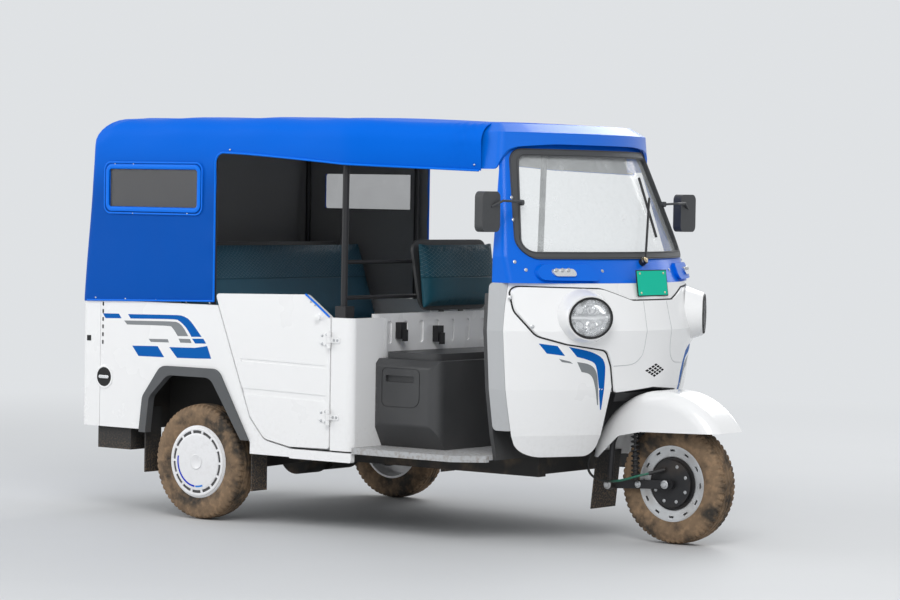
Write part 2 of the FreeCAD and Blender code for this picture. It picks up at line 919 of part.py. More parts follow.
# Floors, frame and running gear
def main_rails():
    low = floor_top - floor_thickness - rail_height
    high = low + rail_height
    outline = [
        (-620, low + rail_kick, 0),
        (100, low + rail_kick, 60),
        (265, low, 60),
        (1550, low, 0),
        (1550, high, 0),
        (295, high, 60),
        (130, high + rail_kick, 60),
        (-620, high + rail_kick, 0),
    ]
    return pair(side_prism(outline, -rail_spread - rail_width / 2, -rail_spread + rail_width / 2))


def cross_members():
    low = floor_top - floor_thickness - rail_height
    inner = rail_spread - rail_width / 2 - seat_gap
    members = []
    for x in (560.0, 1000.0, 1490.0):
        members.append(block(x, x + 60, -inner, inner, low + 10, low + rail_height))
    for x in (last_member_x, 30.0):
        members.append(block(x, x + 50, -inner, inner, low + rail_kick + 10, low + rail_kick + rail_height))
    return Part.makeCompound(members)


def sill_edge(inward):
    # Right-hand edge of the driver's floor, turned in towards the cowl, as (x, y).
    y = body_half_width - wall - inward
    return [(1390.0, -y), (1500.0, -y + 89.0)]


def floor_pan():
    beside_door = body_half_width - wall - door_gap
    inner = body_half_width - wall - seat_gap
    step = door_front + door_gap
    corner, end = sill_edge(seat_gap)
    share = (bulkhead_x - corner[0]) / (end[0] - corner[0])
    front_y = corner[1] + share * (end[1] - corner[1])
    right = [(330, -beside_door), (step, -beside_door), (step, -inner), corner, (bulkhead_x, front_y)]
    left = [(x, -y) for x, y in reversed(right)]
    return plan_prism([(x, y, 0) for x, y in right + left], floor_top - floor_thickness, floor_top)


def driver_sills():
    rear = post_front + joint_line
    inner_corner, inner_end = sill_edge(0.0)
    outer_corner, outer_end = sill_edge(3.0 - wall)
    channel = plan_prism([
        (rear, outer_corner[1], 0), (*outer_corner, 40), (*outer_end, 6),
        (*inner_end, 0), (*inner_corner, 0), (rear, inner_corner[1], 0),
    ], floor_top - 25, floor_top + 1)
    return pair(channel)


def rear_floor():
    low = rear_floor_top - luggage_floor_thickness
    inner = wheelhouse_inner - wheelhouse_skin - seat_gap
    outer = body_half_width - wall - seat_gap
    rear = rear_end + wall + seat_gap
    step = arch_rear_bottom - wheelhouse_skin - seat_gap
    front = 310.0
    return plan_prism([
        (rear, -outer, 16), (step, -outer, 0), (step, -inner, 0), (front, -inner, 0),
        (front, inner, 0), (step, inner, 0), (step, outer, 0), (rear, outer, 16),
    ], low, rear_floor_top)


def seat_riser():
    inner = wheelhouse_inner - wheelhouse_skin - seat_gap
    low = floor_top + seat_gap
    return block(310 + seat_gap, 328, -inner, inner, low, cushion_top - cushion_thickness - seat_gap)


def wheelhouse_right():
    top = arch_top + 22
    outside = -body_half_width + wall + door_gap
    inside = -wheelhouse_inner
    skin = wheelhouse_skin
    rear, front = arch_rear_bottom, arch_front_bottom - 10
    outer = block(rear - skin, front + skin, outside, inside + skin, body_bottom, top + skin)
    inner = block(rear, front, outside - 50, inside, body_bottom - 50, top)
    return outer.cut(inner)


def rear_flaps():
    top = 470.0
    x = arch_rear_bottom + seat_gap
    outer = body_half_width - 28
    return pair(block(x, x + 8, -outer, -outer + 100, 183, top))


def front_flaps():
    x = arch_front_bottom - 10 - seat_gap
    outer = body_half_width - 28
    return pair(block(x - 6, x, -outer, -outer + 100, 142, 470))


def underbody_boxes():
    return pair(block(-596, -398, -body_half_width + 20, -body_half_width + 150, 277, body_bottom - seat_gap))


def rear_axle():
    # Axle tube with the motor and its gear case as one body.
    tube_end = rear_track / 2 - bead_width / 2 - 12
    tube = bar(Vector(0, -tube_end, tyre_radius), Vector(0, tube_end, tyre_radius), 32)
    case = bar(Vector(0, -70, tyre_radius), Vector(0, 70, tyre_radius), 95)
    motor = bar(Vector(40, 70, tyre_radius), Vector(40, 250, tyre_radius), 82)
    spindle_end = rear_track / 2 + bead_width / 2 - 20
    spindle = bar(Vector(0, -spindle_end, tyre_radius), Vector(0, spindle_end, tyre_radius), spindle_radius)
    return tube.fuse([case, motor, spindle]).removeSplitter()


def axle_y(side):
    return side * rear_track / 2


def brake_drums():
    # Back plates and drums on the axle ends, inside the rims.
    outer = rear_track / 2 - bead_width / 2 - 12
    plate = bar(Vector(0, -outer, tyre_radius), Vector(0, -outer + 14, tyre_radius), 98)
    bore = bar(Vector(0, -outer - 20, tyre_radius), Vector(0, -outer + 40, tyre_radius), 32 + seat_gap)
    return pair(plate.cut(bore))


def tow_eye():
    # Level lug with an upright eye, behind the last cross member.
    face = last_member_x - seat_gap
    low = tow_eye_height - tow_eye_width / 2
    lug = plan_prism([
        (face, -34, 0), (face, 34, 0), (face - 46, 26, 22), (face - 46, -26, 22),
    ], low, low + tow_eye_width)
    eye = bar(Vector(tow_eye_x, 0, low - 20), Vector(tow_eye_x, 0, low + 60), tow_eye_radius)
    return lug.cut(eye)


def trailing_arms():
    # Arms from the rails down to the axle, with an eye round the tube.
    arms = []
    y_from, y_to = -rail_spread - 62, -rail_spread - 30
    arm = side_prism([
        (-46, tyre_radius - 44, 20),
        (46, tyre_radius - 44, 10),
        (470, 275, 20),
        (470, 330, 20),
        (46, tyre_radius + 44, 10),
        (-46, tyre_radius + 44, 20),
    ], y_from, y_to)
    eye = bar(Vector(0, y_from - 5, tyre_radius), Vector(0, y_to + 5, tyre_radius), 32 + seat_gap)
    pin = bar(Vector(445, y_to, 303), Vector(445, -rail_spread - rail_width / 2 - seat_gap, 303), 14)
    arms.append(arm.cut(eye).fuse(pin))
    return pair(arms[0])


def rear_dampers():
    y = -rail_spread - rail_width / 2 - 30
    low = Vector(20, y, tyre_radius + 44 + seat_gap)
    high = Vector(20, y, rear_floor_top - luggage_floor_thickness - seat_gap)
    return pair(ribbed_spring(low, high, 24, 6))


def ribbed_spring(low, high, radius, ribs):
    # Damper rod inside a spring, the spring as a stack of turned ribs.
    length = (high - low).Length
    end = 30.0
    pitch = (length - 2 * end) / ribs
    profile = [Vector(0, 0, 0), Vector(radius * 0.5, 0, 0), Vector(radius * 0.5, 0, end)]
    for i in range(ribs):
        profile.append(Vector(radius, 0, end + (i + 0.5) * pitch))
        profile.append(Vector(radius * 0.6, 0, end + (i + 1) * pitch))
    profile += [Vector(radius * 0.5, 0, length - end), Vector(radius * 0.5, 0, length), Vector(0, 0, length)]
    solid = Part.Face(Part.makePolygon(profile + [profile[0]])).revolve(Vector(0, 0, 0), Vector(0, 0, 1), 360)
    turn = FreeCAD.Rotation(Vector(0, 0, 1), high - low)
    solid.Placement = FreeCAD.Placement(low, turn)
    return solid


def neck():
    # Head tube of the steering on two braces from the front cross member.
    low, high = steer_point(head_tube_low), steer_point(head_tube_high)
    tube = bar(low, high, head_tube_radius)
    foot_z = floor_top - floor_thickness + seat_gap
    foot_x = bulkhead_x + bulkhead_thickness + 2
    top = steer_point(brace_top)
    solids = []
    for side in (-1, 1):
        foot = Vector(foot_x + 17, side * 120, foot_z + 6)
        solids.append(bar(foot, Vector(top.x - brace_setback, side * 14, top.z), 16))
        solids.append(block(foot_x, foot_x + 48, side * 120 - 26, side * 120 + 26, foot_z, foot_z + 6))
    body = tube.fuse(solids)
    bore = bar(steer_point(head_tube_low - 60), steer_point(head_tube_high + 60), column_radius + shaft_gap)
    return body.cut(bore)


def bulkhead():
    # Wall behind the cowl, with the outline of its rear edge.
    top = section_at(cowl_sections, dash_height)
    heights = [(s["half"], s["z"]) for s in cowl_sections if s["z"] < dash_height]
    heights.append((top["half"], dash_height))
    first = heights[0][0]
    right = [(0, floor_top - floor_thickness, 0), (-first, floor_top - floor_thickness, 0)]
    right += [(-half, z, 0) for half, z in heights] + [(0, dash_height, 0)]
    return front_prism(mirror_outline(right), bulkhead_x, bulkhead_x + bulkhead_thickness)


def dash_shelf():
    low = dash_height - 16
    slab = block(cowl_rear, front_of(cowl_sections), -body_half_width, body_half_width, low, dash_height)
    hole = bar(steer_point(dash_height - 80), steer_point(dash_height + 80), column_radius + 9)
    shelf = cowl_inside().common(slab).cut(hole)
    for cup in at_both_lamps(lambda: oval(lamp_rim + 8, -pod_depth - 8, 0)):
        shelf = shelf.cut(cup)
    return shelf


def instrument_pod():
    return side_prism([
        (1590, dash_height + seat_gap, 0),
        (1700, dash_height + seat_gap, 0),
        (1700, dash_height + 60, 20),
        (1640, dash_height + 85, 20),
        (1590, dash_height + 40, 20),
    ], -110, 110)


def wheel_well():
    # Box over the front wheel, open below and fitted to the inside of the cowl.
    ceiling = arch_ceiling - 30
    skin = 6.0
    half = well_half_width
    front = front_of(cowl_sections)
    outer = block(well_rear, front, -half, half, 390, ceiling).common(cowl_inside())
    inner = block(well_rear + skin, front, -half + skin, half - skin, 300, ceiling - skin)
    hole = bar(steer_point(500), steer_point(800), column_radius + 9)
    return outer.cut(inner).cut(hole)


# Seats
def rear_cushion():
    low = cushion_top - cushion_thickness
    return side_prism([
        (cushion_rear, low, 0), (cushion_front, low, 20), (cushion_front, cushion_top, 38),
        (cushion_rear, cushion_top, 0),
    ], -cushion_half_width, cushion_half_width)


def backrest_plane(x, z):
    return x - backrest_lean * (z - cushion_top) / (backrest_top - cushion_top)


def rear_backrest():
    front_low = cushion_rear + backrest_thickness
    low = cushion_top + seat_gap
    high = backrest_top
    body = side_prism([
        (cushion_rear + seat_gap, low, 0),
        (front_low, low, 20),
        (backrest_plane(front_low, high), high, 34),
        (backrest_plane(cushion_rear + seat_gap, high), high, 34),
    ], -cushion_half_width, cushion_half_width)
    keep = front_prism([
        (-cushion_half_width, low - 10, 0),
        (cushion_half_width, low - 10, 0),
        (cushion_half_width - 20, high + 1, 70),
        (-cushion_half_width + 20, high + 1, 70),
    ], -600, 200)
    return body.common(keep)


def seat_back_board():
    back = cushion_rear - seat_gap
    thick = 14.0
    high = backrest_top - 15
    half = wheelhouse_inner - wheelhouse_skin - seat_gap
    return side_prism([
        (back - thick, rear_floor_top + seat_gap, 0),
        (back, rear_floor_top + seat_gap, 0),
        (back, cushion_top, 0),
        (backrest_plane(back, high), high, 0),
        (backrest_plane(back - thick, high), high, 0),
        (back - thick, cushion_top, 0),
    ], -half, half)


def driver_seat_box():
    tub = plan_prism([
        (box_rear, -box_half_width, box_round), (box_front, -box_half_width, box_round),
        (box_front, box_half_width, box_round), (box_rear, box_half_width, box_round),
    ], floor_top + seat_gap, box_top)
    under = 60.0
    keep = front_prism([
        (-box_half_width + under, floor_top - 10, 0),
        (box_half_width - under, floor_top - 10, 0),
        (box_half_width, floor_top + 95, 30),
        (box_half_width, box_top - 30, 20),
        (box_half_width - 30, box_top + 1, 0),
        (-box_half_width + 30, box_top + 1, 0),
        (-box_half_width, box_top - 30, 20),
        (-box_half_width, floor_top + 95, 30),
    ], box_rear - 50, box_front + 50)
    tub = tub.common(keep)
    back_cut = block(box_rear - 5, post_front + seat_gap, -900, 900, 0, 2000)
    hatch = side_prism([
        (box_rear + 65, 535, 25), (box_front - 95, 535, 40), (box_front - 95, 700, 25), (box_rear + 65, 700, 25),
    ], -box_half_width - 10, -box_half_width + 3)
    hatch_line = hatch.cut(side_prism([
        (box_rear + 69, 539, 22), (box_front - 99, 539, 37), (box_front - 99, 696, 22), (box_rear + 69, 696, 22),
    ], -box_half_width - 10, -box_half_width + 3))
    handle = side_prism([
        (box_rear + 85, 640, 6), (box_front - 125, 640, 6), (box_front - 125, 668, 6), (box_rear + 85, 668, 6),
    ], -box_half_width - 10, -box_half_width + 14)
    return tub.cut(back_cut).cut(hatch_line).cut(handle)


def seat_box_lid():
    inset = 45.0
    return plan_prism([
        (post_front + 20, -box_half_width + inset, 30), (box_front - inset, -box_half_width + inset, 60),
        (box_front - inset, box_half_width - inset, 60), (post_front + 20, box_half_width - inset, 30),
    ], box_top + seat_gap, box_top + lid_height)


def driver_backrest():
    # Upholstered pad; its shell is a piece of its own.
    return pad_shape(driver_pad_x + 14 + seat_gap, driver_pad_x + 68, 0.0, 18)


def pad_shape(x_from, x_to, grow, fillet):
    slope = -driver_pad_lean / (driver_pad_high - driver_pad_low)
    lower = -slope * grow
    upper = -driver_pad_lean + slope * grow
    slab = side_prism([
        (x_from + lower, driver_pad_low - grow, 4), (x_to + lower, driver_pad_low - grow, fillet),
        (x_to + upper, driver_pad_high + grow, fillet), (x_from + upper, driver_pad_high + grow, 4),
    ], -400, 400)
    half = driver_pad_half + grow
    keep = front_prism([
        (-half + 34, driver_pad_low - grow, 60), (half - 34, driver_pad_low - grow, 60),
        (half, driver_pad_high + grow, 50), (-half, driver_pad_high + grow, 50),
    ], x_from - 100, x_to + 100)
    return slab.common(keep)


def backrest_shell():
    shell = pad_shape(driver_pad_x, driver_pad_x + 14, 6.0, 6)
    posts = []
    for side in (-1, 1):
        y = side * 70.0
        x = driver_pad_x - 8
        low = partition_top + seat_gap
        posts.append(block(x, x + 9, y - 14, y + 14, low, driver_pad_low + 40))
    return shell.fuse(posts).removeSplitter()


# Canopy and its frame
def canopy_solid(inset):
    i = inset
    side = side_prism([
        (rear_end - fabric - seat_gap + i, canopy_bottom - 60, 0),
        (rear_end - fabric - seat_gap + i, waist_height + 10, 0),
        (rear_end + 62 + i, crown_height - i, 100 - i),
        (560, crown_height + 2 - i, 20000),
        (taper_end + 20, crown_height - 26 - i, 0),
        (taper_end + 20, canopy_bottom - 60, 0),
    ], -900, 900)
    across = front_prism([
        (-canopy_half_width + i, canopy_bottom - 60, 0),
        (-canopy_half_width + i, crown_height - 16 - i, 78 - i),
        (0, crown_height + 8 - i, 9000),
        (canopy_half_width - i, crown_height - 16 - i, 78 - i),
        (canopy_half_width - i, canopy_bottom - 60, 0),
    ], -900, 1700)
    plan = plan_prism([
        (rear_end - fabric - seat_gap + i, -canopy_half_width + i, 44 - i),
        (taper_start, -canopy_half_width + i, 400),
        (taper_end + 20, -taper_half_width + i, 0),
        (taper_end + 20, taper_half_width - i, 0),
        (taper_start, canopy_half_width - i, 400),
        (rear_end - fabric - seat_gap + i, canopy_half_width - i, 44 - i),
    ], 500, 2000)
    return side.common(across).common(plan)


def canopy_shell():
    shell = canopy_solid(0.0).cut(canopy_solid(fabric))
    bottom = side_prism([
        (-900, 500, 0), (-900, canopy_bottom, 0), (canopy_quarter_front, canopy_bottom + 27, 0),
        (canopy_quarter_front, crown_height - 163, 46), (206, crown_height - 165, 0),
        (813, crown_height - 207, 300), (1500, crown_height - 231, 0), (2000, crown_height - 231, 0),
        (2000, 500, 0),
    ], -1000, 1000)
    return shell.cut(bottom).cut(block(canopy_front, 2000, -1000, 1000, 500, 2000))


def canopy_pieces():
    shell = canopy_shell()
    half_joint = seat_gap / 2
    back_front = -600.0
    roof = shell.common(block(-1000, 2000, -1000, 1000, canopy_split + half_joint, 2000))
    lower = shell.common(block(-1000, canopy_quarter_front + 60, -1000, 1000, 500, canopy_split - half_joint))
    valances = shell.common(block(canopy_quarter_front + 60 + seat_gap, 2000, -1000, 1000, 500,
                                  canopy_split - half_joint))
    back = lower.common(block(-1000, back_front - half_joint, -1000, 1000, 500, 2000))
    quarters = lower.common(block(back_front + half_joint, 2000, -1000, 1000, 500, 2000))
    window = side_prism([
        (window_rear, window_bottom, 18), (window_front, window_bottom, 18),
        (window_front, window_top, 18), (window_rear, window_top, 18),
    ], -1000, 1000)
    back_window = front_prism([
        (-300, window_bottom, 18), (300, window_bottom, 18), (300, window_top, 18), (-300, window_top, 18),
    ], -1000, -500)
    return roof, valances, quarters.cut(window), back.cut(back_window)


def canopy_windows():
    inside = -canopy_half_width + fabric + seat_gap
    side = side_prism([
        (window_rear - pane_lap, window_bottom - pane_lap, 18),
        (window_front + pane_lap, window_bottom - pane_lap, 18),
        (window_front + pane_lap, window_top + pane_lap, 18),
        (window_rear - pane_lap, window_top + pane_lap, 18),
    ], inside, inside + pane)
    inner = canopy_solid(fabric + seat_gap).cut(canopy_solid(fabric + seat_gap + pane))
    rear = inner.common(front_prism([
        (-300 - pane_lap, window_bottom - pane_lap, 18), (300 + pane_lap, window_bottom - pane_lap, 18),
        (300 + pane_lap, window_top + pane_lap, 18), (-300 - pane_lap, window_top + pane_lap, 18),
    ], -1000, -500))
    return Part.makeCompound([side, mirrored(side), rear])


def canopy_rails():
    return pair(bent_tube([
        Vector(-612, -frame_half_width, frame_tube_height),
        Vector(taper_start, -frame_half_width, frame_tube_height),
        Vector(canopy_front - 30, -taper_half_width + 24, frame_tube_height - 40),
    ], frame_tube, 160))


def canopy_bows():
    bows = []
    for x in (-560.0, -120.0, 340.0, 790.0):
        half = frame_half_width - frame_tube - seat_gap - 1.4
        bows.append(bent_tube([
            Vector(x, -half, frame_tube_height),
            Vector(x, -half + 110, crown_height - 40),
            Vector(x, half - 110, crown_height - 40),
            Vector(x, half, frame_tube_height),
        ], frame_tube - 2, 60))
    return Part.makeCompound(bows)


def canopy_posts():
    posts = []
    top = frame_tube_height - frame_tube - seat_gap
    for x, low in ((-600.0, waist_height + seat_gap), (60.0, waist_height + seat_gap)):
        posts.append(bar(Vector(x, -frame_half_width, low), Vector(x, -frame_half_width, top), frame_tube))
    return Part.makeCompound([*posts, *[mirrored(post) for post in posts]])


def post_tubes():
    # Bent tube and its collar, over the post behind the driver's doorway.
    top = frame_tube_height - frame_tube - seat_gap
    foot = post_top + seat_gap
    tube = bent_tube([
        Vector(783, -705, foot), Vector(783, -705, 1150), Vector(792, -frame_half_width, top),
    ], 14, 200)
    collar = block(760, 815, -735, -675, foot, foot + 48)
    return pair(tube.fuse(collar))


def guard_rails():
    half = 705 - 14 - seat_gap
    rails = [bar(Vector(783, -half, z), Vector(783, half, z), 9) for z in (988.0, 1138.0)]
    return Part.makeCompound(rails)


# Wheels
def tyre(x, y):
    half = tyre_width / 2
    return turned([
        (-bead_width / 2, bead_radius, 0),
        (bead_width / 2, bead_radius, 0),
        (half, 205, 50),
        (shoulder_width / 2 + 6, tyre_radius - 6, 14),
        (shoulder_width / 2 - 20, tyre_radius, 0),
        (-shoulder_width / 2 + 20, tyre_radius, 0),
        (-shoulder_width / 2 - 6, tyre_radius - 6, 14),
        (-half, 205, 50),
    ], x, y, tyre_radius)


def rear_rim(side):
    # Steel rim with a dished disc and a hub on the spindle.
    out = side
    half = bead_width / 2
    barrel = bead_radius - seat_gap
    bore = spindle_radius + shaft_gap
    outline = [
        (-half, barrel, 0), (half, barrel, 0), (half, barrel - rim_wall, 0),
        (26, barrel - rim_wall - 4, 10), (26, hub_radius, 6), (38, hub_radius, 0), (38, bore, 0),
        (8, bore, 0), (8, hub_radius + 6, 6), (16, hub_radius + 20, 0), (16, barrel - rim_wall - 8, 10),
        (-half, barrel - rim_wall, 0),
    ]
    outline = [(out * a, r, f) for a, r, f in outline]
    return turned(outline, 0, axle_y(side), tyre_radius)


def wheel_cover(side):
    # Domed cover with slots round its rim and a cap at its centre.
    inner = bead_width / 2 + seat_gap
    radius = bead_radius - 3
    outline = [
        (inner, radius, 0), (inner + 4, radius, 0), (inner + 6, radius - 12, 6),
        (inner + cover_dome, 40, 30), (inner + cover_dome + 4, 34, 4), (inner + cover_dome + 4, 0, 0),
        (inner + cover_dome, 0, 0), (inner + cover_dome - cover_skin, 36, 20),
        (inner + 6 - cover_skin, radius - 13, 6), (inner, radius - 8, 0),
    ]
    outline = [(side * a, r, f) for a, r, f in outline]
    cover = turned(outline, 0, 0, 0)
    slots = ring_of_slots(cover_slots, side * (inner - 20), side * (inner + 30))
    cover = cover.cut(slots)
    cover.translate(Vector(0, axle_y(side), tyre_radius))
    return cover


def ring_of_slots(count, y_from, y_to):
    low, high = sorted((y_from, y_to))
    slot = block(-slot_length / 2, slot_length / 2, low, high,
                 slot_circle - slot_width / 2, slot_circle + slot_width / 2)
    slots = []
    for i in range(count):
        turned_slot = slot.copy()
        turned_slot.rotate(Vector(0, 0, 0), Vector(0, 1, 0), i * 360.0 / count)
        slots.append(turned_slot)
    return Part.makeCompound(slots)


def front_rim():
    # Silver ring with slots, on both faces of the barrel.
    half = bead_width / 2
    barrel = bead_radius - seat_gap
    low = front_drum_radius + 8
    outline = [
        (-half, barrel, 0), (half, barrel, 0), (half, barrel - 6, 0), (half - 8, low, 8),
        (half - 14, low, 0), (half - 16, barrel - rim_wall, 8), (-half + 16, barrel - rim_wall, 8),
        (-half + 14, low, 0), (-half + 8, low, 8), (-half, barrel - 6, 0),
    ]
    rim = turned(outline, 0, 0, 0)
    for face in (-1, 1):
        rim = rim.cut(ring_of_slots(front_slots, face * (half - 24), face * (half + 10)))
    rim.translate(Vector(wheelbase, 0, tyre_radius))
    return rim


def front_drum():
    # Finned hub and brake drum, bored for the axle.
    half = front_drum_width / 2
    low = front_drum_radius - 8
    outline = [(-half, front_axle_radius + shaft_gap, 0)]
    outline.append((-half, low, 0))
    pitch = front_drum_width / drum_fins
    for i in range(drum_fins):
        start = -half + i * pitch
        outline += [(start + 0.2 * pitch, low, 0), (start + 0.2 * pitch, front_drum_radius + 7.5, 0),
                    (start + 0.7 * pitch, front_drum_radius + 7.5, 0), (start + 0.7 * pitch, low, 0)]
    outline += [(half, low, 0), (half, front_axle_radius + shaft_gap, 0)]
    return turned(outline, wheelbase, 0, tyre_radius)


# Steered parts
def fork():
    column = bar(steer_point(crown_low + 10), steer_point(bar_height - 5), column_radius)
    crown = side_prism([
        (1766, crown_low, 8), (1880, crown_low, 8), (1880, crown_low + crown_thickness, 8),
        (1766, crown_low + crown_thickness, 8),
    ], -fork_half_width - fork_radius - 6, fork_half_width + fork_radius + 6)
    parts = [column]
    eye_inner = link_inner + link_thickness + seat_gap
    for side in (-1, 1):
        leg = bent_tube([
            Vector(1782, side * fork_half_width, crown_low + 5),
            Vector(1745, side * fork_half_width, crown_low - 70),
            Vector(fork_pivot_x, side * fork_half_width, fork_pivot_height),
        ], fork_radius, 60)
        eye = bar(Vector(fork_pivot_x, side * eye_inner, fork_pivot_height),
                  Vector(fork_pivot_x, side * (fork_half_width + fork_radius + 5), fork_pivot_height), 21)
        parts += [leg, eye]
    return crown.fuse(parts).removeSplitter()


def link_arms():
    # Leading arms from the fork eyes to the axle.
    half = link_height / 2
    arm = side_prism([
        (fork_pivot_x - 24, fork_pivot_height - half, 16),
        (wheelbase + 26, tyre_radius - half, 16),
        (wheelbase + 26, tyre_radius + half, 16),
        (fork_pivot_x - 24, fork_pivot_height + half, 16),
    ], -link_inner - link_thickness, -link_inner)
    bore = bar(Vector(wheelbase, -200, tyre_radius), Vector(wheelbase, 200, tyre_radius),
               front_axle_radius + seat_gap)
    return pair(arm.cut(bore))


def front_axle():
    half = link_inner + link_thickness + 22
    return bar(Vector(wheelbase, -half, tyre_radius), Vector(wheelbase, half, tyre_radius), front_axle_radius)


def front_dampers():
    share = (damper_x - fork_pivot_x) / (wheelbase - fork_pivot_x)
    arm_z = fork_pivot_height + share * (tyre_radius - fork_pivot_height)
    foot_low = arm_z + link_height / 2 + seat_gap
    y = -link_inner - link_thickness - 16
    low = Vector(damper_x, y, foot_low)
    high = Vector(damper_x - 8, y, crown_low - seat_gap)
    return pair(ribbed_spring(low, high, damper_radius, 5))


def brake_plate():
    y = -front_drum_width / 2 - 8
    start = Vector(wheelbase, y, tyre_radius)
    plate = bar(start, start - Vector(0, 8, 0), front_drum_radius - 4)
    hose_way = unit(hose_points[-1] - hose_points[-2])
    port = bar(hose_points[-1] + hose_way * seat_gap, hose_points[-1] + hose_way * 70, 8)
    port = port.common(block(wheelbase - 400, wheelbase, -200, y - 4, 0, 500))
    bore = bar(Vector(wheelbase, y + 10, tyre_radius), Vector(wheelbase, y - 40, tyre_radius),
               front_axle_radius + seat_gap)
    return plate.fuse(port).cut(bore)


def fender_section(inset):
    # Arched section across the tyre, in the plane through the fender's axis.
    half = fender_half_width - inset
    top = fender_radius - inset
    fillet = fender_round - inset
    return [(-half, 60, 0), (-half, top, fillet), (half, top, fillet), (half, 60, 0)]


def front_fender():
    outer = turned(fender_section(0.0), fender_x, 0, fender_height)
    inner = turned(fender_section(fender_skin), fender_x, 0, fender_height)
    shell = outer.cut(inner)
    rear = math.radians(fender_rear_angle)
    tip = math.radians(fender_tip_angle)
    rear_end_x = fender_x + fender_radius * math.cos(rear)
    rear_end_z = fender_height + fender_radius * math.sin(rear)
    tip_x = fender_x + fender_radius * math.cos(tip)
    tip_z = fender_height + fender_radius * math.sin(tip)
    keep = side_prism([
        (rear_end_x - 30, rear_end_z, 0),
        (rear_end_x + 45, rear_end_z, 0),
        (1790, 440, 40),
        (1900, skirt_height, 0),
        (tip_x + 40, tip_z, 0),
        (tip_x + 40, 800, 0),
        (rear_end_x - 30, 800, 0),
    ], -300, 300)
    hole = bar(steer_point(500), steer_point(700), column_radius + seat_gap)
    return largest(shell.common(keep).cut(hole))


def front_flap():
    # Ribbed rubber flap below the fender's rear edge.
    rear = math.radians(fender_rear_angle)
    x = fender_x + fender_radius * math.cos(rear) + fender_skin + 7
    top = fender_height + fender_radius * math.sin(rear) + 20
    flap = side_prism([(x - 26, 121, 0), (x - 18, 121, 0), (x + 8, top, 0), (x, top, 0)], -88, 88)
    return flap


def handlebar():
    top = steer_point(bar_height)
    points = [
        Vector(1368, -330, bar_height - 30), Vector(1440, -190, bar_height),
        Vector(top.x - 16, -90, bar_height + 14), Vector(top.x - 16, 90, bar_height + 14),
        Vector(1440, 190, bar_height), Vector(1368, 330, bar_height - 30),
    ]
    tube = bent_tube(points, bar_radius, 36)
    stem = bar(steer_point(bar_height - 5 + seat_gap), steer_point(bar_height + 32), column_radius)
    return tube.fuse(stem)


def grips():
    bend, end = Vector(1440, -190, bar_height), Vector(1368, -330, bar_height - 30)
    way = unit(end - bend)
    start = end - way * (grip_length - 8)
    grip = bar(start, end + way * 8, grip_radius)
    hole = bar(start - way * 5, end + way * seat_gap, bar_radius + seat_gap)
    return pair(grip.cut(hole))


hose_points = [
    Vector(1690, -121, 446),
    Vector(1671, -122, 402),
    Vector(1652, -132, 356),
    Vector(1648, -146, 310),
    Vector(1668, -152, 272),
    Vector(1712, -150, 252),
    Vector(1768, -147, 248),
    Vector(1826, -142, 258),
    Vector(1880, -128, 276),
    Vector(1926, -100, 290),
]
hose_radius = 5.0


def hose_bends():
    # Each bend takes 0.45 of its shorter run.
    bends = [0.0]
    for before, point, after in zip(hose_points, hose_points[1:], hose_points[2:]):
        run = min((point - before).Length, (after - point).Length)
        turn = (point - before).getAngle(after - point)
        bends.append(0.45 * run / math.tan(turn / 2))
    return bends + [0.0]


def brake_hose():
    bends = hose_bends()
    path = rounded_wire(hose_points, bends, False)
    ring = Part.Wire(Part.makeCircle(hose_radius, hose_points[0], hose_points[1] - hose_points[0]))
    hose = path.makePipeShell([ring], True, False)
    print("hose bends", [round(bend) for bend in bends], "length", round(path.Length),
          "volume share", round(hose.Volume / (math.pi * hose_radius ** 2 * path.Length), 4))
    return hose


def together(*shapes):
    return Part.makeCompound([solid for shape in shapes for solid in shape.Solids])


def rear_wheel(side):
    return together(rear_rim(side), wheel_cover(side))


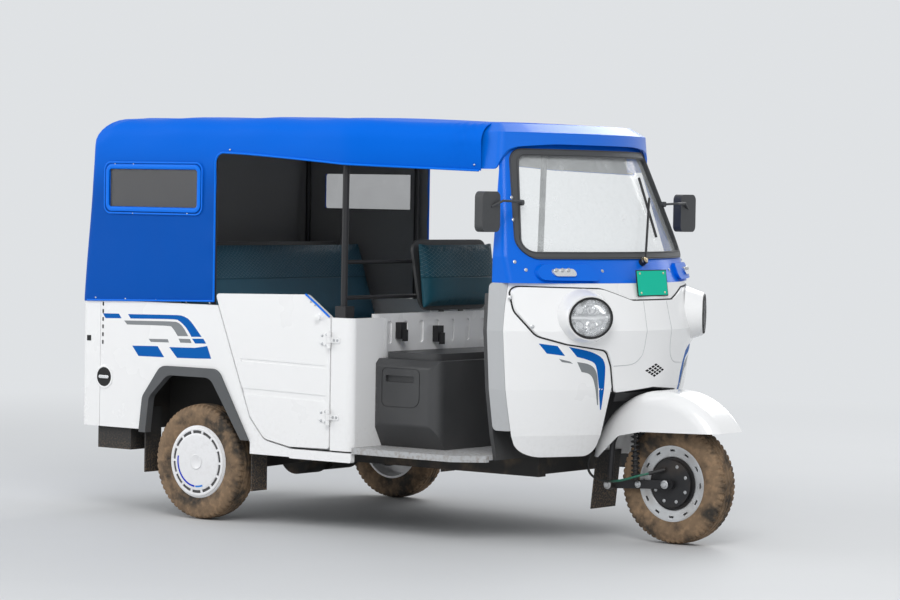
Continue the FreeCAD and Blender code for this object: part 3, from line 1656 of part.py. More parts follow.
def build():
    roof, valances, quarters, back = canopy_pieces()
    half_track = rear_track / 2
    return {
        "main_frame": together(main_rails(), cross_members(), neck(), tow_eye()),
        "floors": together(floor_pan(), rear_floor(), seat_riser(), seat_back_board(), driver_sills()),
        "wheelhouses": pair(wheelhouse_right()),
        "bulkhead": together(bulkhead(), dash_shelf(), instrument_pod()),
        "wheel_well": wheel_well(),
        "side_panels": together(pair(side_panel_right()), pair(sill_right())),
        "arch_flares": pair(arch_flare_right()),
        "rear_panels": together(pair(rear_corner_right()), rear_panel()),
        "tail_lamps": tail_lamps(),
        "partition": together(pair(post_panel_right()), partition()),
        "latches": latches(),
        "post_hinges": pair(post_hinges_right()),
        "door_right": together(door_right(), door_hinges_right()),
        "door_left": together(mirrored(door_right()), mirrored(door_hinges_right())),
        "front_cowl": front_cowl(),
        "cowl_strips": cowl_strips(),
        "nose_fascia": nose_fascia(),
        "headlamp_rims": headlamp_rims(),
        "headlamp_lenses": headlamp_lenses(),
        "front_plate": front_plate(),
        "screen_frame": screen_frame(),
        "indicator_lenses": indicator_lenses(),
        "screen_seal": screen_seal(),
        "screen_glass": screen_glass(),
        "wiper": together(wiper(), wiper_blade()),
        "mirrors": mirrors(),
        "roof_visor": roof_visor(),
        "canopy_roof": together(roof, valances),
        "canopy_curtains": together(quarters, back),
        "canopy_windows": canopy_windows(),
        "canopy_rails": canopy_rails(),
        "canopy_bows": canopy_bows(),
        "canopy_posts": canopy_posts(),
        "post_tubes": post_tubes(),
        "guard_rails": guard_rails(),
        "rear_cushion": rear_cushion(),
        "rear_backrest": rear_backrest(),
        "driver_seat_box": together(driver_seat_box(), seat_box_lid()),
        "driver_backrest": driver_backrest(),
        "backrest_shell": backrest_shell(),
        "rear_axle": together(rear_axle(), trailing_arms(), rear_dampers(), brake_drums()),
        "mud_flaps": together(rear_flaps(), front_flaps(), underbody_boxes()),
        "rear_tyre_right": tyre(0, -half_track),
        "rear_tyre_left": tyre(0, half_track),
        "rear_wheel_right": rear_wheel(-1),
        "rear_wheel_left": rear_wheel(1),
        "front_tyre": tyre(wheelbase, 0),
        "front_wheel": together(front_rim(), front_drum()),
        "fork": fork(),
        "front_links": together(link_arms(), front_axle(), brake_plate()),
        "front_dampers": front_dampers(),
        "front_fender": front_fender(),
        "front_flap": front_flap(),
        "handlebar": together(handlebar(), grips()),
        "brake_hose": brake_hose(),
    }


if __name__ == "__main__":
    os.makedirs("parts", exist_ok=True)
    nodes = build()
    whole = Part.makeCompound(list(nodes.values())).optimalBoundingBox(False, False)
    middle = (whole.XMin + whole.XMax) / 2
    print("middle", round(middle, 3), "length", round(whole.XLength, 1), "width", round(whole.YLength, 1),
          "height", round(whole.ZMax, 1), "lowest", round(whole.ZMin, 4))
    for name, shape in nodes.items():
        bad = [solid for solid in shape.Solids if not solid.isValid()]
        print(name, len(shape.Solids), "solids", "INVALID" if bad else "", round(shape.Volume / 1e6, 2))
        shape.translated(Vector(-middle, 0, 0)).exportStep(f"parts/{name}.step")
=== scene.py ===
import math
import random
import bpy
from mathutils import Matrix, Vector, noise


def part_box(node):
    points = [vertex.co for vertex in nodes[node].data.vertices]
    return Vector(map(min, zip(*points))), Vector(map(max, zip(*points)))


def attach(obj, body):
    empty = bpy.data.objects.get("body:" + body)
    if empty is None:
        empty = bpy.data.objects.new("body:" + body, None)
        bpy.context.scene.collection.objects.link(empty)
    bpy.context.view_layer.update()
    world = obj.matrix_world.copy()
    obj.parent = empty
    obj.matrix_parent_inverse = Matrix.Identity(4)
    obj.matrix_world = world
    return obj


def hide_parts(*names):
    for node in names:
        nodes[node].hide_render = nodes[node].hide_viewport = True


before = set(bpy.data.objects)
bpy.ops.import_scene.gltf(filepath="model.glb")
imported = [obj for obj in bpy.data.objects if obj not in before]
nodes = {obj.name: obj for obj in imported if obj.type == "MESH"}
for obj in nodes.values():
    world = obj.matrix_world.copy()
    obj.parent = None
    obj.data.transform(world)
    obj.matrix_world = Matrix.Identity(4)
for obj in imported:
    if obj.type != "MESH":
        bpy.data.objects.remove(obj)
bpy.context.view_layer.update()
rearAxleX = -0.782575  # places below are measured in mm from the rear axle
print("frame loaded")


def at(x, y, z):
    return Vector((x / 1000 + rearAxleX, y / 1000, z / 1000))


# shader sums
class Signal:
    # one shader socket; sums with it add Math nodes to its finish
    def __init__(self, finish, socket):
        self.finish, self.socket = finish, socket

    def calc(self, operation, *values):
        return self.finish.node("Math", {"operation": operation}, dict(enumerate(values)))

    def __add__(self, other):
        return self.calc("ADD", self, other)

    def __sub__(self, other):
        return self.calc("SUBTRACT", self, other)

    def __rsub__(self, other):
        return self.calc("SUBTRACT", other, self)

    def __mul__(self, other):
        return self.calc("MULTIPLY", self, other)

    __radd__ = __add__
    __rmul__ = __mul__

    def sine(self):
        return self.calc("SINE", self)

    def size(self):
        return self.calc("ABSOLUTE", self)

    def step(self, low, high):  # 0 at low, 1 at high, smooth between
        return self.finish.node("MapRange", {"interpolation_type": "SMOOTHSTEP"},
                                {"Value": self, "From Min": low, "From Max": high})


class Finish:
    # one material, with the few textures that this vehicle needs
    def __init__(self, name):
        self.material = bpy.data.materials.new(name)
        self.material.use_nodes = True
        self.tree = self.material.node_tree
        self.tree.nodes.clear()
        self.place = self.node("TexCoord", output="Object")
        self.x, self.y, self.z = [self.node("SeparateXYZ", inputs={"Vector": self.place}, output=axis)
                                  for axis in "XYZ"]

    def node(self, kind, settings=None, inputs=None, output=0):
        made = self.tree.nodes.new("ShaderNode" + kind)
        for key, value in (settings or {}).items():
            setattr(made, key, value)
        for key, value in (inputs or {}).items():
            if isinstance(value, Signal):
                self.tree.links.new(value.socket, made.inputs[key])
            else:
                made.inputs[key].default_value = value
        return Signal(self, made.outputs[output])

    def grain(self, scale, detail=3.0, stretch=(1, 1, 1)):
        place = self.node("VectorMath", {"operation": "MULTIPLY"}, {0: self.place, 1: stretch})
        return self.node("TexNoise", inputs={"Vector": place, "Scale": scale, "Detail": detail,
                                             "Roughness": 0.55})

    def cells(self, scale, feature="F1"):
        return self.node("TexVoronoi", {"feature": feature}, {"Vector": self.place, "Scale": scale})

    def mix(self, factor, first, second):
        colours = [c if isinstance(c, Signal) else (*c, 1.0) for c in (first, second)]
        return self.node("Mix", {"data_type": "RGBA"}, {0: factor, 6: colours[0], 7: colours[1]}, 2)

    def close(self, colour, rough, bumps=(), **fixed):
        # bumps: (height signal, depth in metres); fixed: values for the shader's own sockets
        shader = self.tree.nodes.new("ShaderNodeBsdfPrincipled")
        normal = None
        for height, depth in bumps:
            inputs = {"Height": height, "Distance": depth, "Strength": 1.0}
            if normal:
                inputs["Normal"] = normal
            normal = self.node("Bump", inputs=inputs)
        values = {"Base Color": colour if isinstance(colour, Signal) else (*colour, 1.0), "Roughness": rough}
        values.update({key.replace("_", " "): value for key, value in fixed.items()})
        if normal:
            values["Normal"] = normal
        for key, value in values.items():
            if isinstance(value, Signal):
                self.tree.links.new(value.socket, shader.inputs[key])
            else:
                shader.inputs[key].default_value = value
        output = self.tree.nodes.new("ShaderNodeOutputMaterial")
        self.tree.links.new(shader.outputs[0], output.inputs["Surface"])
        return self.material


dustBrown = (0.17, 0.115, 0.07)


def paint(name, colour, rough=0.24, dust=0.5, ripple=0.0004, coat=0.5, dustTop=0.62, shine=0.5):
    # gloss paint or moulded gloss plastic, with road dust low down
    f = Finish(name)
    blotch = f.grain(2.2, 4)
    speck = f.grain(60, 3)
    film = (1 - f.z.step(0.30, dustTop)) * speck.step(0.40, 0.75) * blotch.step(0.30, 0.70) * dust
    tone = f.mix(blotch.step(0.2, 0.8), tuple(c * 0.985 for c in colour), colour)
    body = f.mix(film, tone, dustBrown)
    return f.close(body, rough + film * 0.5 + blotch * 0.08,
                   [(f.grain(5, 2), ripple), (f.grain(420, 2), 0.00003)],
                   Coat_Weight=coat, Coat_Roughness=0.08, Specular_IOR_Level=shine)


def plastic(name, colour, rough=0.5, pebble=900, depth=0.00012, dust=0.25, dustTop=0.5):
    # moulded plastic with a fine pebble grain and dust in it
    f = Finish(name)
    cloud = f.grain(6, 4)
    fine = f.grain(140, 3)
    film = (1 - f.z.step(0.15, dustTop)) * fine.step(0.42, 0.7) * dust + cloud.step(0.55, 0.9) * 0.06
    tone = f.mix(cloud, tuple(c * 0.8 for c in colour), tuple(min(c * 1.25, 1) for c in colour))
    return f.close(f.mix(film, tone, dustBrown), rough + cloud * 0.15,
                   [(f.cells(pebble), depth), (cloud, 0.0004)])


def metal(name, colour, rough=0.35, metallic=1.0, wear=0.2, dust=0.2):
    # plated or painted metal with fine scuffs
    f = Finish(name)
    scuff = f.grain(90, 5, (1, 1, 6))
    cloud = f.grain(9, 4)
    film = (1 - f.z.step(0.2, 0.55)) * cloud.step(0.45, 0.75) * dust
    tone = f.mix(scuff.step(0.55, 0.8) * wear, colour, tuple(min(c * 2.2 + 0.02, 1) for c in colour))
    return f.close(f.mix(film, tone, dustBrown), rough + scuff * 0.2, [(scuff, 0.00005), (cloud, 0.0003)],
                   Metallic=metallic)


def vinyl(name, colour, weave=1500, rough=0.42, shade=0.72, shine=0.13, topPaintedLight=1.0):
    # coated cloth: fine woven relief under a satin skin, with broad creases
    f = Finish(name)
    cloud = f.grain(1.7, 4)
    crease = f.grain(7, 3, (1, 1, 0.35))
    warp = ((f.x + f.y) * weave).sine()
    weft = (f.z * weave).sine()
    soil = cloud.step(0.45, 0.85) * 0.25 + (1 - f.z.step(0.9, 1.05)) * 0.12
    tone = f.mix(soil, colour, tuple(c * shade for c in colour))
    # the upper cloth, its rounded edge and the roof are mixed towards a lighter blue: painted light falling from
    # above
    tone = f.mix(f.z.step(1.36, 1.66), tone, tuple(min(c * topPaintedLight, 1) for c in colour))
    return f.close(tone, rough + cloud * 0.14,
                   [(warp * weft, 0.00006), (crease, 0.0016), (f.grain(40, 3), 0.0002)],
                   Specular_IOR_Level=shine)


def leather(name, colour, pattern=None, thread=(0.16, 0.22, 0.25)):
    # upholstery grain; pattern = (lowest z, highest z, cell size) of a stitched zone
    f = Finish(name)
    cloud = f.grain(5, 4)
    tone = f.mix(cloud, tuple(c * 0.75 for c in colour), tuple(c * 1.25 for c in colour))
    bumps = [(f.cells(700, "DISTANCE_TO_EDGE"), 0.00035), (cloud, 0.0016)]
    if pattern:
        low, high, size = pattern
        zone = f.z.step(low, low + 0.004) * (1 - f.z.step(high, high + 0.004))
        across = f.y * (math.pi / size)
        up = f.z * (math.pi / size)
        slant = 1.732
        waves = [(across + up * slant).sine(), (across - up * slant).sine()]
        lines = [1 - wave.size().step(0.0, 0.22) for wave in waves]
        stitch = f.x.calc("MAXIMUM", *lines)
        dash = ((f.y + f.z * 0.6) * 1900).sine().step(-0.2, 0.2)
        groove = stitch * zone
        tone = f.mix(groove * dash * 0.85, tone, thread)
        edge = 1 - (f.z - low).size().step(0.0, 0.004)
        bumps.append((1 - groove, 0.0016))
        bumps.append((1 - edge, 0.002))
        tone = f.mix(edge * 0.5, tone, tuple(c * 0.4 for c in colour))
    return f.close(tone, 0.46 + cloud * 0.1, bumps, Specular_IOR_Level=0.3)


def tyreRubber(name):
    # dusty tyre: brown film on the walls, darker where the tread scrubs
    f = Finish(name)
    cloud = f.grain(9, 5)
    streak = f.grain(38, 4)
    film = cloud.step(0.34, 0.60) * 0.75 + streak.step(0.45, 0.7) * 0.35
    tone = f.mix(film, (0.030, 0.025, 0.020), (0.275, 0.180, 0.105))
    return f.close(tone, 0.78 + streak * 0.15, [(streak, 0.0008), (f.grain(300, 3), 0.0002)])


def hoseRubber(name):
    # black hose whose front half runs in a green sleeve
    f = Finish(name)
    sleeve = (f.x - 1.003).step(-0.03, 0.03)
    cloud = f.grain(60, 4)
    tone = f.mix(sleeve, (0.014, 0.015, 0.015), (0.012, 0.12, 0.075))
    return f.close(f.mix(cloud.step(0.5, 0.8) * 0.3, tone, dustBrown), 0.38 + cloud * 0.1, [(cloud, 0.0003)])


def clearGlass(name, tint=(0.93, 0.96, 0.96), alpha=0.22, rough=0.03):
    # thin clear pane: mostly see-through, with its own reflection and a little dust
    f = Finish(name)
    smear = f.grain(14, 5)
    return f.close(tint, rough + smear * 0.05, [(f.grain(3, 2), 0.0003)],
                   Alpha=smear.step(0.3, 0.9) * 0.10 + alpha, Specular_IOR_Level=0.8)


def film(name, colour, alpha):
    # grey translucent window sheet, slightly wavy
    f = Finish(name)
    wave = f.grain(6, 3)
    return f.close(f.mix(wave, tuple(c * 0.85 for c in colour), colour), 0.22 + wave * 0.15,
                   [(wave, 0.003), (f.grain(60, 3), 0.0002)], Alpha=wave * 0.08 + alpha)


finishes = {
    "bodyWhite": paint("bodyWhite", (0.88, 0.88, 0.88), dust=0.10),
    "noseWhite": paint("noseWhite", (0.90, 0.90, 0.90), 0.2, 0.05, 0.0005, 0.7),
    "floorGrey": paint("floorGrey", (0.42, 0.43, 0.44), 0.45, 0.8, 0.0005, 0.1, 0.75),
    "scuttleBlue": paint("scuttleBlue", (0.0, 0.135, 0.70), 0.3, 0.1, 0.0006, 0.12, shine=0.15),
    "visorBlue": paint("visorBlue", (0.0, 0.150, 0.74), 0.3, 0.0, 0.0012, 0.25, shine=0.2),
    "stripeBlue": paint("stripeBlue", (0.0, 0.110, 0.43), 0.4, 0.0, 0.0001, 0.0, shine=0.08),
    "stripeGrey": paint("stripeGrey", (0.20, 0.215, 0.225), 0.35, 0.1, 0.0001, 0.2),
    # canopyBlue is lightened towards its top as painted light from above
    "canopyBlue": vinyl("canopyBlue", (0.0, 0.082, 0.43), shine=0.06, topPaintedLight=1.65),
    "pipingBlue": vinyl("pipingBlue", (0.0, 0.17, 0.82), 2200, 0.35),
    "lining": vinyl("lining", (0.30, 0.30, 0.305), 1300, 0.8),
    "windowFilm": film("windowFilm", (0.15, 0.15, 0.155), 0.30),
    "black": metal("black", (0.018, 0.018, 0.02), 0.42, 0.15, 0.12),
    "chassisBlack": metal("chassisBlack", (0.022, 0.021, 0.02), 0.6, 0.1, 0.1, 0.6),
    "steel": metal("steel", (0.55, 0.56, 0.57), 0.3, 1.0, 0.15),
    "chrome": metal("chrome", (0.80, 0.81, 0.82), 0.12, 1.0, 0.05, 0.0),
    "rimSilver": metal("rimSilver", (0.62, 0.63, 0.64), 0.32, 0.85, 0.1, 0.35),
    "wheelWhite": paint("wheelWhite", (0.82, 0.82, 0.83), 0.3, 0.10, 0.0003, 0.4, 0.5),
    "darkPlastic": plastic("darkPlastic", (0.048, 0.049, 0.051), 0.38),
    "mirrorPlastic": plastic("mirrorPlastic", (0.045, 0.047, 0.05), 0.45),
    "flarePlastic": plastic("flarePlastic", (0.075, 0.08, 0.085), 0.42, dustTop=0.72),
    "rubber": plastic("rubber", (0.022, 0.022, 0.022), 0.7, 500, 0.0002, 0.9, 0.42),
    "sealRubber": plastic("sealRubber", (0.055, 0.057, 0.06), 0.5, 600, 0.0001, 0.0),
    "plateGreen": paint("plateGreen", (0.0, 0.54, 0.36), 0.4, 0.0, 0.0002, 0.0, shine=0.15),
    "tailRed": paint("tailRed", (0.42, 0.008, 0.01), 0.15, 0.1, 0.0004, 0.8),
    "tyre": tyreRubber("tyre"),
    "screenGlass": clearGlass("screenGlass"),
    "lensClear": clearGlass("lensClear", (0.95, 0.96, 0.97), 0.08, 0.02),
    "mirrorGlass": metal("mirrorGlass", (0.75, 0.77, 0.79), 0.04, 1.0, 0.0, 0.0),
    "lampBar": metal("lampBar", (0.86, 0.87, 0.88), 0.3, 0.6, 0.0, 0.0),
    # grey lines along the nose's creases: painted shade in the folds
    "creasePaintedShade": paint("creasePaintedShade", (0.50, 0.51, 0.52), 0.3, 0.1, 0.0002, 0.4),
    "reflector": metal("reflector", (0.82, 0.83, 0.84), 0.10, 1.0, 0.0, 0.0),
    "bench": leather("bench", (0.032, 0.112, 0.170)),
    "benchBack": leather("benchBack", (0.032, 0.112, 0.170), (1.035, 1.19, 0.026), (0.30, 0.40, 0.46)),
    "driverPad": leather("driverPad", (0.008, 0.072, 0.105), (1.070, 1.20, 0.030), (0.34, 0.44, 0.48)),
    "hose": hoseRubber("hose"),
    # grey of the cowl's side strips: painted shade on their side-facing white faces
    "stripPaintedShade": paint("stripPaintedShade", (0.46, 0.47, 0.48), 0.3, 0.2, 0.0005, 0.4),
    "clipBrass": metal("clipBrass", (0.72, 0.60, 0.40), 0.25, 1.0, 0.1),
    "arcBlue": paint("arcBlue", (0.0, 0.03, 0.52), 0.4, 0.0, 0.0001, 0.0, shine=0.08),
    "arcLight": paint("arcLight", (0.0, 0.21, 0.72), 0.3, 0.1, 0.0001, 0.3, 0.1),
    "indicatorChrome": metal("indicatorChrome", (0.74, 0.75, 0.76), 0.18, 0.9, 0.05, 0.0),
    # dark seams and joints, and painted shade inside the latch wells and in the slot and vent patches
    "seamDarkAndShade": plastic("seamDarkAndShade", (0.015, 0.015, 0.016), 0.8, 300, 0.0001, 0.0),
    # dark floors of the shallow wheel-cover slots: painted shade standing for deep openings
    "slotGrey": plastic("slotGrey", (0.06, 0.06, 0.062), 0.6, dust=0.1),
}
print("finishes made")

nodeFinish = {
    "bodyWhite": "side_panels rear_panels partition post_hinges door_right door_left front_cowl",
    # the cowl strips take a grey that is painted shade
    "stripPaintedShade": "cowl_strips",
    "noseWhite": "nose_fascia front_fender",
    "floorGrey": "floors",
    "chassisBlack": "main_frame wheelhouses rear_axle",
    "darkPlastic": "bulkhead wheel_well driver_seat_box backrest_shell headlamp_rims",
    "flarePlastic": "arch_flares",
    "scuttleBlue": "screen_frame",
    "visorBlue": "roof_visor",
    "tailRed": "tail_lamps",
    "black": "latches wiper canopy_rails canopy_bows canopy_posts post_tubes guard_rails fork front_links "
             "handlebar",
    "lensClear": "headlamp_lenses",
    "indicatorChrome": "indicator_lenses",
    "plateGreen": "front_plate",
    "sealRubber": "screen_seal",
    "screenGlass": "screen_glass",
    "mirrorPlastic": "mirrors",
    "windowFilm": "canopy_windows",
    "rubber": "mud_flaps front_flap",
    "hose": "brake_hose",
    "rimSilver": "front_wheel",
    "wheelWhite": "rear_wheel_right rear_wheel_left",
    "tyre": "front_tyre rear_tyre_right rear_tyre_left",
    "bench": "rear_cushion rear_backrest driver_backrest",
    "canopyBlue": "canopy_roof canopy_curtains",
}
for finishName, members in nodeFinish.items():
    for member in members.split():
        nodes[member].data.materials.clear()
        nodes[member].data.materials.append(finishes[finishName])


def darken(node, finishName, test):
    # a second finish on the faces of a frame piece that the test picks by place and direction
    mesh = nodes[node].data
    mesh.materials.append(finishes[finishName])
    for polygon in mesh.polygons:
        if test(polygon.center, polygon.normal):
            polygon.material_index = len(mesh.materials) - 1


frontHub = at(2008, 0, 250)
darken("front_wheel", "black", lambda p, n: math.hypot(p.x - frontHub.x, p.z - frontHub.z) < 0.1095)
darken("floors", "darkPlastic", lambda p, n: p.z > 0.70)
darken("nose_fascia", "seamDarkAndShade", lambda p, n: n.x < 0.6 and abs(p.y) < 0.075 and abs(p.z - 0.712) < 0.036)
print("frame dressed")


# mesh making
def circle(count):
    # even angles round a full turn
    return [2 * math.pi * k / count for k in range(count)]


class Shape:
    # gathers vertices and faces of one piece; mark picks the finish of a face
    def __init__(self):
        self.verts, self.faces, self.marks = [], [], []

    def add(self, verts, faces, mark=0):
        base = len(self.verts)
        self.verts += [Vector(v) for v in verts]
        self.faces += [[base + i for i in face] for face in faces]
        self.marks += [mark] * len(faces)

    def grid(self, rows, closed=False, mark=0, flip=False):
        # rows of points; closed joins the last point of each row to its first
        width = len(rows[0])
        faces = []
        for r in range(len(rows) - 1):
            for c in range(width if closed else width - 1):
                n = (c + 1) % width
                face = [r * width + c, r * width + n, (r + 1) * width + n, (r + 1) * width + c]
                faces.append(face[::-1] if flip else face)
        self.add([point for row in rows for point in row], faces, mark)

    def ends(self, base, count, sides):
        # flat end faces of count closed rows, added at base
        self.faces.append([base + k for k in range(sides)][::-1])
        self.faces.append([base + (count - 1) * sides + k for k in range(sides)])
        self.marks += [0, 0]

    def tube(self, points, radius, sides=8, ring=False):
        # round bar along points, with closed ends unless it is a ring
        points = [Vector(p) for p in points]
        count = len(points)
        side = None
        rows = []
        for i, point in enumerate(points):
            before = points[i - 1] if i or ring else point
            after = points[(i + 1) % count] if i < count - 1 or ring else point
            way = (after - before).normalized()
            if side is None:
                side = way.orthogonal().normalized()
            side = (side - way * side.dot(way)).normalized()
            up = way.cross(side)
            rows.append([point + (side * math.cos(a) + up * math.sin(a)) * radius for a in circle(sides)])
        if ring:
            rows.append(rows[0])
        base = len(self.verts)
        self.grid(rows, True)
        if not ring:
            self.ends(base, count, sides)

    def turn(self, centre, axis, profile, sides):
        # lathe: profile of (radius, height along axis), closed where the radius is 0
        centre, axis = Vector(centre), Vector(axis).normalized()
        side = axis.orthogonal().normalized()
        up = axis.cross(side)
        rows = [[centre + axis * h + (side * math.cos(a) + up * math.sin(a)) * max(r, 1e-5)
                 for a in circle(sides)] for r, h in profile]
        base = len(self.verts)
        self.grid(rows, True)
        self.ends(base, len(rows), sides)

    def bolt(self, place, way, size):
        # hexagon head on a washer
        self.turn(place, way, [(size * 1.5, -0.0006), (size * 1.5, size * 0.12), (size * 1.38, size * 0.2)], 20)
        self.turn(place, way, [(size, 0.0), (size, size * 0.62), (size * 0.84, size * 0.78), (0, size * 0.8)], 6)

    def rivet(self, place, way, size):
        self.turn(place, way, [(size, -0.0005), (size, size * 0.15), (size * 0.82, size * 0.5),
                               (size * 0.45, size * 0.7), (0, size * 0.74)], 12)

    def slab(self, outline, way):
        # flat outline of points pushed along way into a closed plate
        outline = [Vector(p) for p in outline]
        count = len(outline)
        top = [p + Vector(way) for p in outline]
        faces = [list(range(count))[::-1], [count + i for i in range(count)]]
        faces += [[i, (i + 1) % count, count + (i + 1) % count, count + i] for i in range(count)]
        self.add(outline + top, faces)

    def make(self, name, finishNames, body="chassis", replaces=(), slot=None, smooth=40, bevel=0):
        mesh = bpy.data.meshes.new(name)
        mesh.from_pydata([tuple(v) for v in self.verts], [], self.faces)
        for finishName in finishNames.split():
            mesh.materials.append(finishes[finishName])
        mesh.polygons.foreach_set("material_index", self.marks)
        mesh.update()
        piece = bpy.data.objects.new(name, mesh)
        bpy.context.scene.collection.objects.link(piece)
        mesh.polygons.foreach_set("use_smooth", [True] * len(mesh.polygons))
        if bevel:
            edge = piece.modifiers.new("edge", "BEVEL")
            edge.width, edge.segments = bevel, 2
            edge.limit_method, edge.angle_limit = "ANGLE", math.radians(35)
        mesh.set_sharp_from_angle(angle=math.radians(smooth))
        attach(piece, body)
        if replaces:
            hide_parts(*replaces)
        return piece


def lerp(a, b, t):
    return a + (b - a) * t


def clamp(value):  # to 0..1
    return min(max(value, 0.0), 1.0)


def smoothLine(points, steps):
    # rounds a line of points: Catmull-Rom, steps spans between neighbours
    points = [Vector(p) for p in points]
    ends = [points[0] * 2 - points[1], *points, points[-1] * 2 - points[-2]]
    line = []
    for a, b, c, d in zip(ends, ends[1:], ends[2:], ends[3:]):
        for k in range(steps):
            t = k / steps
            line.append(0.5 * ((2 * b) + (c - a) * t + (2 * a - 5 * b + 4 * c - d) * t * t
                               + (3 * b - a - 3 * c + d) * t ** 3))
    return line + [points[-1]]


def even(points, count):
    # the same line with evenly spaced points
    points = [Vector(p) for p in points]
    reach = [0.0]
    for a, b in zip(points, points[1:]):
        reach.append(reach[-1] + (b - a).length)
    result, k = [], 0
    for i in range(count):
        want = reach[-1] * i / (count - 1)
        while k < len(reach) - 2 and reach[k + 1] < want:
            k += 1
        span = max(reach[k + 1] - reach[k], 1e-9)
        result.append(points[k].lerp(points[k + 1], clamp((want - reach[k]) / span)))
    return result


def roundedRing(outline, steps=8):
    # closed line of (y, z, corner radius) with its corners rounded
    ring = []
    count = len(outline)
    for i, (y, z, radius) in enumerate(outline):
        here = Vector((y, z, 0))
        back = (Vector((*outline[i - 1][:2], 0)) - here).normalized()
        ahead = (Vector((*outline[(i + 1) % count][:2], 0)) - here).normalized()
        if radius <= 0:
            ring.append((y, z))
            continue
        half = back.angle(ahead) / 2
        reach = radius / math.tan(half)
        middle = here + (back + ahead).normalized() * (radius / math.sin(half))
        start, end = here + back * reach - middle, here + ahead * reach - middle
        for k in range(steps + 1):
            turn = start.angle(end) * (k / steps)
            way = Matrix.Rotation(turn if start.cross(end).z > 0 else -turn, 3, "Z") @ start
            ring.append(tuple((middle + way).xy))
    return ring


def rectangle(low, high, bottom, top, corner, steps):
    # the same for an upright rectangle
    places = (low, bottom), (high, bottom), (high, top), (low, top)
    return roundedRing([(x, z, corner) for x, z in places], steps)


def apply(piece, *names):
    # turns the named modifiers into the piece's own points
    bpy.context.view_layer.objects.active = piece
    with bpy.context.temp_override(object=piece, active_object=piece, selected_objects=[piece]):
        for name in names:
            bpy.ops.object.modifier_apply(modifier=name)


# canopy
canopy = {
    "halfWidth": 0.755, "rear": -0.6943, "front": 1.380, "quarterFront": 0.099,
    "sideRound": 0.085, "backRound": 0.118, "thick": 0.0035,
    "bows": (-0.66, -0.56, -0.12, 0.34, 0.79, 1.38), "sag": 0.006,
    "windowX": (-0.522, -0.006), "windowZ": (1.352, 1.516), "fanStart": -0.25, "cornerEdge": -0.4765,
    "planCorner": 0.044, "leanFrom": 0.945, "lean": 0.0818, "hemTop": 1.592, "hemCorner": 0.046,
}


def planHalf(x):
    # half width of the canopy in plan, narrowing to the front
    if x < 0.7816:
        return canopy["halfWidth"]
    if x < 0.9145:
        return canopy["halfWidth"] - (0.4 - math.sqrt(0.16 - (x - 0.7816) ** 2))
    return canopy["halfWidth"] - 0.3525 * (x - 0.850)


def roofHeight(x, y):
    crown = 1.757 - (0.028 * ((x - 0.4) / 1.06) ** 2 if x > 0.4 else 0.002 * ((0.4 - x) / 1.03) ** 2)
    return crown - 0.014 * (abs(y) / 0.755) ** 2


def hemHeight(x):
    if x <= canopy["quarterFront"]:
        return 0.921 + 0.027 * clamp((x + 0.9) / 1.0)
    top, bend = canopy["hemTop"], canopy["hemCorner"]
    corner = canopy["quarterFront"] + bend
    if x < corner:
        return top - bend + math.sqrt(max(bend ** 2 - (corner - x) ** 2, 0))
    if x < 0.206:
        return top - 0.002 * (x - corner) / (0.206 - corner)
    if x < 0.813:
        return 1.590 - 0.042 * ((x - 0.206) / 0.607) ** 1.15
    return 1.548 - 0.024 * (x - 0.813) / 0.687


def canopyColumns():
    # right half of the plan outline, from the front to the middle of the back
    columns = []
    front, quarter, rear = canopy["front"], canopy["quarterFront"], canopy["rear"]
    low, high = canopy["windowX"]
    corner, bend = canopy["planCorner"], canopy["hemCorner"]

    def side(start, end, count, skipLast=True):
        for i in range(count + (0 if skipLast else 1)):
            x = lerp(start, end, i / count)
            columns.append({"x": x, "y": -planHalf(x), "n": (0.0, 1.0), "in": (0.0, 1.0),
                            "quarter": x <= quarter + 1e-6, "part": "side"})

    side(front, quarter + bend, 86)
    side(quarter + bend, quarter + 0.0004, 8, False)
    side(quarter, high, 6)
    side(high, low, 30)
    side(low, rear + corner, 8)
    for i in range(7):
        a = math.pi / 2 * i / 7
        columns.append({"x": rear + corner * (1 - math.sin(a)),
                        "y": -canopy["halfWidth"] + corner * (1 - math.cos(a)),
                        "n": (math.sin(a), math.cos(a)), "in": (1.0, 1.0), "quarter": True, "part": "corner"})
    for i in range(36):
        share = 1 - i / 35
        columns.append({"x": rear, "y": (corner - canopy["halfWidth"]) * share,
                        "n": (1.0, 0.0), "in": (1.0, share), "quarter": True, "part": "back"})
    return columns


# rows of points up the wall, from height to height; the second lot holds the window
wallRows = (("hem", 1.352, 22), (1.352, 1.516, 9), (1.516, 1.592, 4), (1.592, None, 5))
windowRows = range(wallRows[0][2], wallRows[0][2] + wallRows[1][2])
wallCount, arcRows, roofRows = sum(count for _, _, count in wallRows), 8, 16


